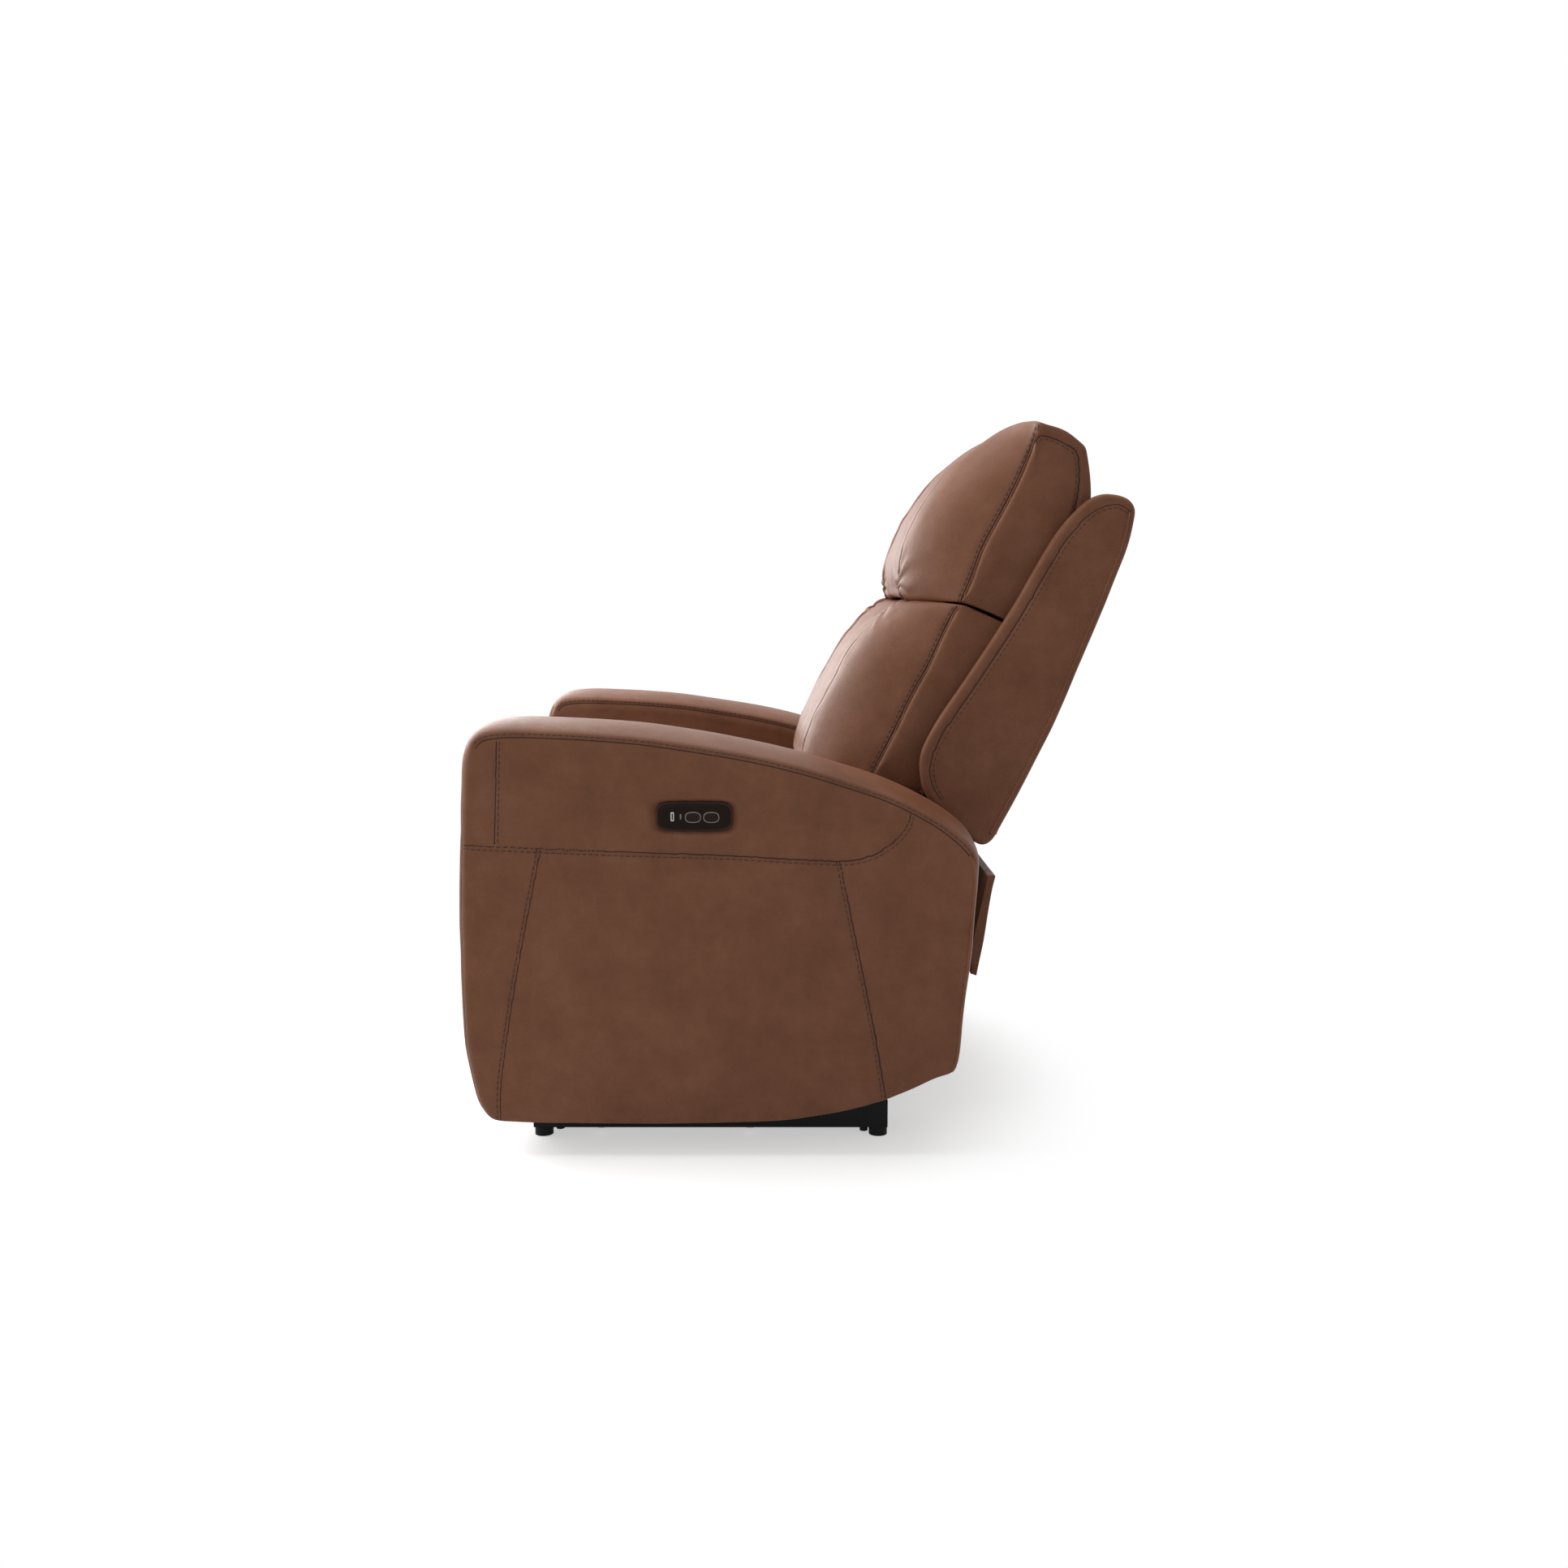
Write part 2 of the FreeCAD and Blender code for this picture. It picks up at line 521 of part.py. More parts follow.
# ---------------------------------------------------------------- footrest linkage
crank_outline = [
    polar(crank_pivot, 12, size("crank_angle") + 90),
    polar(crank_pivot, 12, size("crank_angle") + 180) + polar(crank_pivot, 12, size("crank_angle") - 90),
    polar(stay_elbow, link_end, 150),
    polar(stay_elbow, link_end, 185) + polar(stay_elbow, link_end, 215),
    polar(elbow, link_end, 215),
    polar(elbow, link_end, size("crank_angle")) + polar(elbow, link_end, size("crank_angle") + 90),
]
mirrored_pair("footrest_cranks", crank_outline, CRANK_PLANE, "sizes.plate",
              holes=((crank_pivot, pin_hole), (elbow, size("pin_radius")), (stay_elbow, size("pin_radius"))))
torque_tube = tube_part("torque_tube", (f"-{CRANK_PLANE}", f"{crank_pivot[0]} - 9", f"{crank_pivot[1]} - 9"),
                        (CRANK_PLANE, f"{crank_pivot[0]} + 9", f"{crank_pivot[1]} + 9"), "x")
keep(torque_tube, "torque_tube")
lever_start = polar(crank_pivot, 12.8, -47.5)
lever_plate = side_body("drive_lever_plate", link_outline(lever_start, lever_end, 6.5), "-3", "6")
lever_pin = pin_part("drive_lever_pin", "-15", "30", lever_end, "sizes.pin_radius")
lever_fuse = doc.addObject("Part::Fuse", "drive_lever_whole")
lever_fuse.Base = lever_plate
lever_fuse.Tool = lever_pin
lever_cut = doc.addObject("Part::Cut", "drive_lever")
lever_cut.Base = lever_fuse
lever_cut.Tool = box_part("drive_lever_seat", ("-4", f"{crank_pivot[0]} - 9", f"{crank_pivot[1]} - 9"),
                          ("4", f"{crank_pivot[0]} + 9", f"{crank_pivot[1]} + 9"))
keep(lever_cut, "drive_lever")
ELBOW_REACH = f"({CRANK_PLANE} + sizes.plate - {FOOT_PLANE} + 2)"


def elbow_pins(label, places):
    """Pins from the crank plane through the foot link plane, on both sides."""
    items = []
    for index, place in enumerate(places):
        items.append(pin_part(f"{label}_{index}_left", f"{FOOT_PLANE} - 2", ELBOW_REACH, place,
                              "sizes.pin_radius"))
        items.append(pin_part(f"{label}_{index}_right", f"-({CRANK_PLANE} + sizes.plate)", ELBOW_REACH, place,
                              "sizes.pin_radius"))
    return group(label, items)


elbow_pins("crank_pins", (elbow, stay_elbow))
mirrored_pair("foot_links", link_outline(elbow, ottoman_pivot, link_end - 1), FOOT_PLANE, "sizes.plate",
              holes=((elbow, pin_hole), (ottoman_pivot, pin_hole)))
mirrored_pair("stay_links", link_outline(stay_elbow, ottoman_stay, link_end - 1), FOOT_PLANE, "sizes.plate",
              holes=((stay_elbow, pin_hole), (ottoman_stay, pin_hole)))

board_front = size("footrest_front") + size("footrest_pad")
board_rear = board_front + size("footrest_board")
footrest_bracket = [
    (board_rear, ottoman_pivot[1] - 30),
    (board_rear, ottoman_stay[1] + 30),
    polar(ottoman_stay, link_end, 60),
    polar(ottoman_stay, link_end, 10) + polar(ottoman_stay, link_end, -30),
    polar(ottoman_pivot, link_end, 10),
    polar(ottoman_pivot, link_end, -30) + polar(ottoman_pivot, link_end, -80),
]
mirrored_pair("footrest_brackets", footrest_bracket, CRANK_PLANE, "sizes.plate",
              holes=((ottoman_pivot, size("pin_radius")), (ottoman_stay, size("pin_radius"))))
elbow_pins("footrest_pins", (ottoman_pivot, ottoman_stay))
keep(box_part("footrest_board", ("-sizes.footrest_half + 12", f"{board_front}", "sizes.footrest_bottom + 12"),
              ("sizes.footrest_half - 12", f"{board_rear}", "sizes.footrest_top - 12")), "footrest_board")
keep(box_part("footrest_pad", ("-sizes.footrest_half", "sizes.footrest_front", "sizes.footrest_bottom"),
              ("sizes.footrest_half", f"{board_front}", "sizes.footrest_top")), "footrest_pad")

# ---------------------------------------------------------------- back
lean = math.radians(size("back_lean"))
shell_foot = (292.6, 430.0)
panel = size("back_panel")
frame_front = panel + size("back_frame_depth")
back_top = size("back_length")


def back_point(forward, up):
    """A point given by its distance in front of the outer back and along the lean."""
    y = shell_foot[0] - forward * math.cos(lean) + up * math.sin(lean)
    z = shell_foot[1] + forward * math.sin(lean) + up * math.cos(lean)
    return (y, z)


def back_strip(near, far, low, high):
    """A strip of the back's side profile between two depths and two lengths."""
    return [back_point(near, low), back_point(near, high), back_point(far, high), back_point(far, low)]


PANEL_HALF = "(sizes.wing_outer - sizes.wing_thickness)"
keep(side_body("back_outer_panel", back_strip(0, panel, 0, back_top),
               f"-{PANEL_HALF}", f"2 * {PANEL_HALF}"), "back_outer_panel")
keep(side_body("back_bottom_panel", back_strip(panel, frame_front, 0, 10),
               f"-({CRANK_PLANE})", f"2 * {CRANK_PLANE}"), "back_bottom_panel")
mirrored_pair("back_uprights", back_strip(panel, frame_front, 10, back_top - 10),
              f"({CRANK_PLANE} - 30)", "30")
cross_rails = []
for index, low in enumerate((10, 230, back_top - 60)):
    cross_rails.append(side_body(f"back_cross_rail_{index}", back_strip(panel, frame_front, low, low + 50),
                                 f"-({CRANK_PLANE} - 30)", f"2 * ({CRANK_PLANE} - 30)"))
group("back_cross_rails", cross_rails)
hinge_bracket = [
    polar(back_pivot, 14, 135),
    back_point(frame_front - 2, 190),
    back_point(panel + 6, 190),
    back_point(panel + 6, 20),
    polar(back_pivot, 14, -20),
    polar(back_pivot, 14, -60) + polar(back_pivot, 14, -150),
]
mirrored_pair("back_brackets", hinge_bracket, CRANK_PLANE, "sizes.plate",
              holes=((back_pivot, size("back_pin_radius") + clearance),))
wing = [
    (174, 529),
    (174, 556),
    (304, 766),
    (370, 880),
    (396, 910),
    (415, 935) + back_point(14, back_top + 12),
    back_point(0, back_top),
    back_point(0, 0),
    (272, 422),
    (230, 456),
    (195, 482),
]
mirrored_pair("back_wings", wing, PANEL_HALF, "sizes.wing_thickness")

crease = (147, 788)
gusset_front = (236, 779)
gusset_rear = (290, 756)
cushion_split = back_point(frame_front, 300)
lumbar = [
    (-17, 534),
    (16, 630) + (65, 711),
    (109, 762),
    crease,
    gusset_front,
    gusset_rear,
    cushion_split,
    back_point(frame_front, 50),
    (176, 500),
    (10, 500),
]
head = [
    crease,
    (146, 850, 189, 946),
    (256, 1016) + (350, 1052),
    (404, 1036) + (427, 985),
    back_point(frame_front, 470),
    cushion_split,
    gusset_rear,
    gusset_front,
]
for label, outline in (("lumbar_cushion", lumbar), ("head_cushion", head)):
    keep(side_body(label, outline, "-sizes.cushion_half", "2 * sizes.cushion_half"), label)

# ---------------------------------------------------------------- control panel
PANEL_FACE = f"({ARM_OUTER} - sizes.panel_inset)"
bezel_half = size("panel_width") / 2
bezel_tall = size("panel_height") / 2
usb_place = (panel_middle[0] - 30.2, panel_middle[1])
button_places = {"return_button": (panel_middle[0] - 1.7, panel_middle[1] - 1),
                 "recline_button": (panel_middle[0] + 23.7, panel_middle[1] - 1)}
bezel = [
    (panel_middle[0] - bezel_half, panel_middle[1] - bezel_tall + 5),
    (panel_middle[0] - bezel_half - 0.5, panel_middle[1]) + (panel_middle[0] - bezel_half,
                                                             panel_middle[1] + bezel_tall - 5),
    (panel_middle[0], panel_middle[1] + bezel_tall) + (panel_middle[0] + bezel_half,
                                                       panel_middle[1] + bezel_tall - 5),
    (panel_middle[0] + bezel_half + 0.5, panel_middle[1]) + (panel_middle[0] + bezel_half,
                                                             panel_middle[1] - bezel_tall + 5),
    (panel_middle[0], panel_middle[1] - bezel_tall, panel_middle[0] - bezel_half,
     panel_middle[1] - bezel_tall + 5),
]
usb_slot = [
    (usb_place[0] - 3, usb_place[1] - 7),
    (usb_place[0] - 3, usb_place[1] + 7),
    (usb_place[0] + 3, usb_place[1] + 7),
    (usb_place[0] + 3, usb_place[1] - 7),
]
button_hole_length = size("button_length") + 2 * size("button_gap")
button_hole_height = size("button_height") + 2 * size("button_gap")
bezel_windows = [oval(place, button_hole_length, button_hole_height) for place in button_places.values()]
bezel_windows.append(usb_slot)
keep(side_body("switch_bezel", bezel, f"{PANEL_FACE} - sizes.bezel_depth", "sizes.bezel_depth",
               windows=bezel_windows), "switch_bezel")
keep(side_body("usb_port", usb_slot, f"{PANEL_FACE} - sizes.bezel_depth",
               "sizes.bezel_depth - 1"), "usb_port")
for label, place in button_places.items():
    button = oval(place, size("button_length"), size("button_height"))
    keep(side_body(label, button, f"{PANEL_FACE} - sizes.bezel_depth + sizes.button_travel + 0.5",
                   "sizes.bezel_depth - sizes.button_travel + 1"), label)
keep(box_part("switch_housing", (f"{PANEL_FACE} - sizes.bezel_depth - 34", f"{panel_middle[0]} - 42",
                                 f"{panel_middle[1]} - 14"),
              (f"{PANEL_FACE} - sizes.bezel_depth", f"{panel_middle[0]} + 42", f"{panel_middle[1]} + 14")),
     "switch_housing")

# ---------------------------------------------------------------- test and write
doc.recompute()
faults = [item.Name for item in doc.Objects if "Invalid" in item.State or "Error" in item.State]
faults += [item.Label for item in nodes if item.Shape.isNull() or not item.Shape.isValid()]
if faults:
    raise RuntimeError("These did not build: " + ", ".join(faults))

os.makedirs("parts", exist_ok=True)
for item in nodes:
    item.Shape.exportStep(f"parts/{item.Label}.step")
print(len(nodes), "sub-parts written")
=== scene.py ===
"""Looks of the leather power recliner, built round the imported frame.

Metres, +X the sitter's left, -Y the front, +Z up. Outlines are written in
millimetres in the YZ plane and scaled when a mesh is made.
"""

import json
import math

import bmesh
import bpy
import numpy as np
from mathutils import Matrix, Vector, noise
from mathutils.bvhtree import BVHTree
from mathutils.kdtree import KDTree


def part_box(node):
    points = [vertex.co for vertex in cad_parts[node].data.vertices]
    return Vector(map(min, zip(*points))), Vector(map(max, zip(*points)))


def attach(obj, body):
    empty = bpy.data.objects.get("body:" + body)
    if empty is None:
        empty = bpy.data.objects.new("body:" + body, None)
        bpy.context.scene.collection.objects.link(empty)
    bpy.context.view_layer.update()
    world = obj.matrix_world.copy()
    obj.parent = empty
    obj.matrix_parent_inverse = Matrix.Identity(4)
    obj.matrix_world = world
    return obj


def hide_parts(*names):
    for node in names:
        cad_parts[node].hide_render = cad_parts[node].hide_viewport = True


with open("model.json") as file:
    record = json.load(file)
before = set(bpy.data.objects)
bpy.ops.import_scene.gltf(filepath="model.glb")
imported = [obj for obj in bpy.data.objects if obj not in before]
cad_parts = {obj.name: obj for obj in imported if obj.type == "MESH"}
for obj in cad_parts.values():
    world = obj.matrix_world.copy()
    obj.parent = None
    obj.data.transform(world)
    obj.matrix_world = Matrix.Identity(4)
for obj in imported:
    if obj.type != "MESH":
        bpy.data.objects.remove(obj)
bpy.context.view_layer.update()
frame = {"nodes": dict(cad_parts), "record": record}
MM = 0.001


def box(name):
    """The low and high corners of a frame node, in millimetres."""
    return tuple(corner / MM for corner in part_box(name))


# ---------------------------------------------------------------- materials
def new_material(name):
    """A blank node material and its nodes, links and shader."""
    material = bpy.data.materials.new(name)
    material.use_nodes = True
    nodes = material.node_tree.nodes
    links = material.node_tree.links
    shader = nodes["Principled BSDF"]
    coordinates = nodes.new("ShaderNodeTexCoord")
    return material, nodes, links, shader, coordinates.outputs["Object"]


def texture(nodes, links, kind, place, **inputs):
    """A texture node read at a place, with its inputs set."""
    node = nodes.new(kind)
    links.new(place, node.inputs["Vector"])
    for key, number in inputs.items():
        node.inputs[key].default_value = number
    return node


def ramp(nodes, links, source, stops):
    """A colour ramp over a source, with stops of place and colour."""
    node = nodes.new("ShaderNodeValToRGB")
    node.color_ramp.elements[0].position = stops[0][0]
    node.color_ramp.elements[0].color = (*stops[0][1], 1)
    node.color_ramp.elements[1].position = stops[-1][0]
    node.color_ramp.elements[1].color = (*stops[-1][1], 1)
    for place, colour in stops[1:-1]:
        element = node.color_ramp.elements.new(place)
        element.color = (*colour, 1)
    links.new(source, node.inputs["Fac"])
    return node.outputs["Color"]


def math_node(nodes, links, operation, first, second):
    """A math node over two sockets or numbers."""
    node = nodes.new("ShaderNodeMath")
    node.operation = operation
    for socket, item in zip(node.inputs, (first, second)):
        if isinstance(item, (int, float)):
            socket.default_value = item
        else:
            links.new(item, socket)
    return node.outputs[0]


def bump(nodes, links, shader, height, strength, distance):
    """A bump from a height, in metres of distance."""
    node = nodes.new("ShaderNodeBump")
    node.inputs["Strength"].default_value = strength
    node.inputs["Distance"].default_value = distance
    links.new(height, node.inputs["Height"])
    links.new(node.outputs["Normal"], shader.inputs["Normal"])


def leather_material(name, shade=1.0):
    """Pebbled brown leather with cloudy tone, fine creases and a soft sheen; a shade above 1 gives a lighter
    copy, a painted highlight.
    """
    material, nodes, links, shader, place = new_material(name)
    cloud = texture(nodes, links, "ShaderNodeTexNoise", place, Scale=16.0, Detail=7.0, Roughness=0.68)
    deep = tuple(shade * c for c in (0.150, 0.057, 0.027))
    middle = tuple(shade * c for c in (0.174, 0.068, 0.034))
    light = tuple(shade * c for c in (0.198, 0.081, 0.043))
    tone = ramp(nodes, links, cloud.outputs["Fac"], ((0.34, deep), (0.5, middle), (0.66, light)))
    pebble = texture(nodes, links, "ShaderNodeTexVoronoi", place, Scale=520.0)
    pebble.feature = "DISTANCE_TO_EDGE"
    fine = texture(nodes, links, "ShaderNodeTexNoise", place, Scale=900.0, Detail=3.0)
    crease = texture(nodes, links, "ShaderNodeTexNoise", place, Scale=60.0, Detail=6.0, Roughness=0.65)
    mix = nodes.new("ShaderNodeMix")
    mix.data_type = "RGBA"
    mix.blend_type = "MULTIPLY"
    mix.inputs["Factor"].default_value = 0.32
    grain_stops = ((0.0, (0.62, 0.60, 0.58)), (0.14, (1.0, 1.0, 1.0)))
    grain_tone = ramp(nodes, links, pebble.outputs["Distance"], grain_stops)
    links.new(tone, mix.inputs[6])
    links.new(grain_tone, mix.inputs[7])
    links.new(mix.outputs[2], shader.inputs["Base Color"])
    rough = nodes.new("ShaderNodeMapRange")
    rough.inputs["To Min"].default_value = 0.38
    rough.inputs["To Max"].default_value = 0.52
    links.new(crease.outputs["Fac"], rough.inputs["Value"])
    links.new(rough.outputs["Result"], shader.inputs["Roughness"])
    shader.inputs["Specular IOR Level"].default_value = 0.18
    edge = math_node(nodes, links, "MINIMUM", pebble.outputs["Distance"], 0.25)
    height = math_node(nodes, links, "MULTIPLY", edge, 1.6)
    for noise_node, share in ((fine, 0.25), (crease, 0.9)):
        part = math_node(nodes, links, "MULTIPLY", noise_node.outputs["Fac"], share)
        height = math_node(nodes, links, "ADD", height, part)
    bump(nodes, links, shader, height, 0.42, 0.0007)
    return material


def plain_material(name, colour, roughness, metallic=0.0, grain=300.0, depth=0.15, gloss=0.5):
    """A finish with slight tone and surface variation, for metal, plastic and thread."""
    material, nodes, links, shader, place = new_material(name)
    cloud = texture(nodes, links, "ShaderNodeTexNoise", place, Scale=35.0, Detail=4.0)
    variation = 0.15
    dark = tuple(c * (1 - variation) for c in colour)
    bright = tuple(c * (1 + variation) for c in colour)
    tone = ramp(nodes, links, cloud.outputs["Fac"], ((0.3, dark), (0.7, bright)))
    links.new(tone, shader.inputs["Base Color"])
    fine = texture(nodes, links, "ShaderNodeTexNoise", place, Scale=grain, Detail=3.0)
    rough = nodes.new("ShaderNodeMapRange")
    rough.inputs["To Min"].default_value = roughness * 0.85
    rough.inputs["To Max"].default_value = min(1.0, roughness * 1.2)
    links.new(fine.outputs["Fac"], rough.inputs["Value"])
    links.new(rough.outputs["Result"], shader.inputs["Roughness"])
    shader.inputs["Metallic"].default_value = metallic
    shader.inputs["Specular IOR Level"].default_value = gloss
    bump(nodes, links, shader, fine.outputs["Fac"], depth, 0.0004)
    return material


def wood_material(name):
    """Pale raw timber with long grain."""
    material, nodes, links, shader, place = new_material(name)
    stretch = nodes.new("ShaderNodeMapping")
    stretch.inputs["Scale"].default_value = (40.0, 3.0, 40.0)
    links.new(place, stretch.inputs["Vector"])
    rings = texture(nodes, links, "ShaderNodeTexNoise", stretch.outputs["Vector"], Scale=2.5, Detail=8.0)
    tone = ramp(nodes, links, rings.outputs["Fac"], ((0.35, (0.34, 0.21, 0.11)), (0.65, (0.58, 0.42, 0.26))))
    links.new(tone, shader.inputs["Base Color"])
    shader.inputs["Roughness"].default_value = 0.7
    bump(nodes, links, shader, rings.outputs["Fac"], 0.3, 0.0005)
    return material


def weave_material(name, colour):
    """Black woven webbing."""
    material, nodes, links, shader, place = new_material(name)
    waves = []
    for direction in ("X", "Y"):
        wave = texture(nodes, links, "ShaderNodeTexWave", place, Scale=190.0, Distortion=0.4)
        wave.bands_direction = direction
        waves.append(wave.outputs["Fac"])
    height = math_node(nodes, links, "MULTIPLY", waves[0], waves[1])
    dark = tuple(c * 0.6 for c in colour)
    links.new(ramp(nodes, links, height, ((0.1, dark), (0.8, colour))), shader.inputs["Base Color"])
    shader.inputs["Roughness"].default_value = 0.9
    bump(nodes, links, shader, height, 0.6, 0.0008)
    return material


LEATHER = leather_material("brown_leather")
# The piping and welts are the same leather made 12% lighter: a painted highlight on the rounded cords.
PIPING_PAINTED_HIGHLIGHT = leather_material("brown_leather_piping_painted_highlight", 1.12)
# Near-black for painted shade: thin tubes at the bottom of seams and channels, and the sheet in the bezel's
# recess.
PAINTED_SHADE = plain_material("painted_shade_dark", (0.016, 0.007, 0.004), 0.9, grain=500.0)
THREAD = plain_material("brown_thread", (0.034, 0.014, 0.008), 0.6, grain=1500.0, depth=0.4)
STEEL = plain_material("black_powder_coat", (0.0055, 0.005, 0.005), 0.45, grain=900.0, depth=0.3,
                       gloss=0.13)
ZINC = plain_material("zinc_steel", (0.55, 0.55, 0.56), 0.32, metallic=1.0)
GLOSS = plain_material("gloss_dark_plastic", (0.013, 0.006, 0.0035), 0.12, grain=120.0, depth=0.04,
                       gloss=0.08)
BUTTON = plain_material("satin_dark_plastic", (0.018, 0.009, 0.0055), 0.26, grain=200.0, depth=0.06,
                        gloss=0.10)
RIM = plain_material("button_outline", (0.20, 0.165, 0.14), 0.35, grain=300.0, depth=0.05)
RUBBER = plain_material("black_moulded_plastic", (0.009, 0.008, 0.008), 0.6, grain=500.0, depth=0.3,
                        gloss=0.14)
WOOD = wood_material("raw_timber")
WEB = weave_material("black_webbing", (0.02, 0.02, 0.02))

FINISH = {
    "black_steel": STEEL,
    "bright_steel": ZINC,
    "gloss_black": GLOSS,
    "black_plastic": RUBBER,
    "wood": WOOD,
    "webbing": WEB,
    "leather": LEATHER,
}
for row in frame["record"]["subparts"]:
    node = frame["nodes"][row["node"]]
    node.data.materials.clear()
    node.data.materials.append(FINISH[row["material_slot"]])


# ---------------------------------------------------------------- lines
def resample(points, count):
    """The same line with an even number of points along its length."""
    points = np.asarray(points, float)
    steps = np.linalg.norm(np.diff(points, axis=0), axis=1)
    length = np.concatenate([[0], np.cumsum(steps)])
    places = np.linspace(0, length[-1], count)
    return np.stack([np.interp(places, length, points[:, i]) for i in range(points.shape[1])], axis=1)


def smooth(points, count):
    """A smooth line through a few points, with an even number of samples."""
    points = np.asarray(points, float)
    if len(points) < 3:
        return resample(points, count)
    padded = np.vstack([2 * points[0] - points[1], points, 2 * points[-1] - points[-2]])
    knots = np.concatenate([[0], np.cumsum(np.sqrt(np.linalg.norm(np.diff(padded, axis=0), axis=1)))])
    pieces = []
    for i in range(1, len(padded) - 2):
        p0, p1, p2, p3 = padded[i - 1:i + 3]
        t0, t1, t2, t3 = knots[i - 1:i + 3]
        t = np.linspace(t1, t2, 24)[:-1, None]
        a1 = (t1 - t) / (t1 - t0) * p0 + (t - t0) / (t1 - t0) * p1
        a2 = (t2 - t) / (t2 - t1) * p1 + (t - t1) / (t2 - t1) * p2
        a3 = (t3 - t) / (t3 - t2) * p2 + (t - t2) / (t3 - t2) * p3
        b1 = (t2 - t) / (t2 - t0) * a1 + (t - t0) / (t2 - t0) * a2
        b2 = (t3 - t) / (t3 - t1) * a2 + (t - t1) / (t3 - t1) * a3
        pieces.append((t2 - t) / (t2 - t1) * b1 + (t - t1) / (t2 - t1) * b2)
    pieces.append(points[-1:])
    return resample(np.vstack(pieces), count)


def run_length(points):
    """The length of a line, in its own units."""
    return float(np.linalg.norm(np.diff(np.asarray(points, float), axis=0), axis=1).sum())


def closed_loop(runs, counts):
    """One closed loop from smooth runs that meet at corners."""
    parts = [smooth(run, count + 1)[:-1] for run, count in zip(runs, counts)]
    return np.vstack(parts)


def soften(loop, times):
    """Evens out the points of a closed loop, or a weight along one."""
    for _ in range(times):
        loop = 0.5 * loop + 0.25 * (np.roll(loop, 1, axis=0) + np.roll(loop, -1, axis=0))
    return loop


def outward(loop):
    """Unit normals of a closed loop, pointing out."""
    tangent = np.roll(loop, -1, axis=0) - np.roll(loop, 1, axis=0)
    normal = np.stack([tangent[:, 1], -tangent[:, 0]], axis=1)
    normal /= np.linalg.norm(normal, axis=1)[:, None] + 1e-9
    area = 0.5 * np.sum(loop[:, 0] * np.roll(loop[:, 1], -1) - np.roll(loop[:, 0], -1) * loop[:, 1])
    return normal if area > 0 else -normal


def quarter_round(from_edge, reach):
    """The share of an edge's drop that is left at a distance in from the edge."""
    return 1 - math.sqrt(max(0.0, 1 - (1 - min(1.0, from_edge / reach)) ** 2))


# ---------------------------------------------------------------- meshes
def make_object(name, points, faces, material, body):
    """A smooth-shaded mesh object in metres that rides on a body."""
    mesh = bpy.data.meshes.new(name)
    mesh.from_pydata([tuple(p) for p in points], [], faces)
    mesh.validate()
    shell = bmesh.new()
    shell.from_mesh(mesh)
    bmesh.ops.recalc_face_normals(shell, faces=shell.faces)
    shell.to_mesh(mesh)
    shell.free()
    mesh.polygons.foreach_set("use_smooth", [True] * len(mesh.polygons))
    mesh.materials.append(material)
    piece = bpy.data.objects.new(name, mesh)
    bpy.context.scene.collection.objects.link(piece)
    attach(piece, body)
    return piece


def loft_faces(slices, count, cap_rings):
    """Faces of a closed loft: its sides, then a ringed cap at each end."""
    faces = []
    for s in range(slices - 1):
        for p in range(count):
            q = (p + 1) % count
            faces.append((s * count + p, s * count + q, (s + 1) * count + q, (s + 1) * count + p))
    start = slices * count
    for end in range(2):
        previous = 0 if end == 0 else (slices - 1) * count
        for k in range(cap_rings):
            here = start + (end * (cap_rings * count + 1)) + k * count
            for p in range(count):
                q = (p + 1) % count
                quad = (previous + p, previous + q, here + q, here + p)
                faces.append(quad if end == 1 else quad[::-1])
            previous = here
        centre = start + end * (cap_rings * count + 1) + cap_rings * count
        for p in range(count):
            q = (p + 1) % count
            face = (previous + p, previous + q, centre)
            faces.append(face if end == 1 else face[::-1])
    return faces


def loft(xs, rings, cap_rings, puff):
    """Points and faces of a body made of side outlines at several X, with domed ends."""
    rings = np.asarray(rings)
    count = rings.shape[1]
    points = [np.column_stack([np.full(count, x), ring]) for x, ring in zip(xs, rings)]
    for end, ring, x in ((-1, rings[0], xs[0]), (1, rings[-1], xs[-1])):
        centre = ring.mean(axis=0)
        for k in range(1, cap_rings + 1):
            share = 1 - k / (cap_rings + 1)
            dome = puff * (1 - share ** 6)
            points.append(np.column_stack([np.full(count, x + end * dome), centre + (ring - centre) * share]))
        points.append(np.array([[x + end * puff, centre[0], centre[1]]]))
    return np.vstack(points) * MM, loft_faces(len(xs), count, cap_rings)


def leather_piece(name, body, shape, replaced=()):
    """A leather piece from its points and faces, with the nodes it stands in for hidden."""
    piece = make_object(name, *shape, LEATHER, body)
    if replaced:
        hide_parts(*replaced)
    return piece


def spread(half, slices, lines=()):
    """X places from -half to half, closer together towards both ends and round each line."""
    places = np.linspace(-1, 1, slices)
    xs = half * np.sin(places * math.pi / 2) * 0.35 + half * places * 0.65
    for line in lines:
        near = line + 11 * np.linspace(-1, 1, 17)
        xs = np.sort(np.concatenate([xs[np.abs(xs - line) > 12.5], near]))
    return xs


def seam_tree(seams):
    """A search tree over the points of several seams, with each point's depth and width."""
    points = []
    marks = []
    for seam in seams:
        line = resample(seam["line"], max(2, int(run_length(seam["line"]) / 0.0015)))
        for point in line:
            points.append(point)
            marks.append((seam.get("depth", 0.0026), seam.get("width", 0.0042)))
    tree = KDTree(len(points))
    for index, point in enumerate(points):
        tree.insert(point, index)
    tree.balance()
    return tree, marks


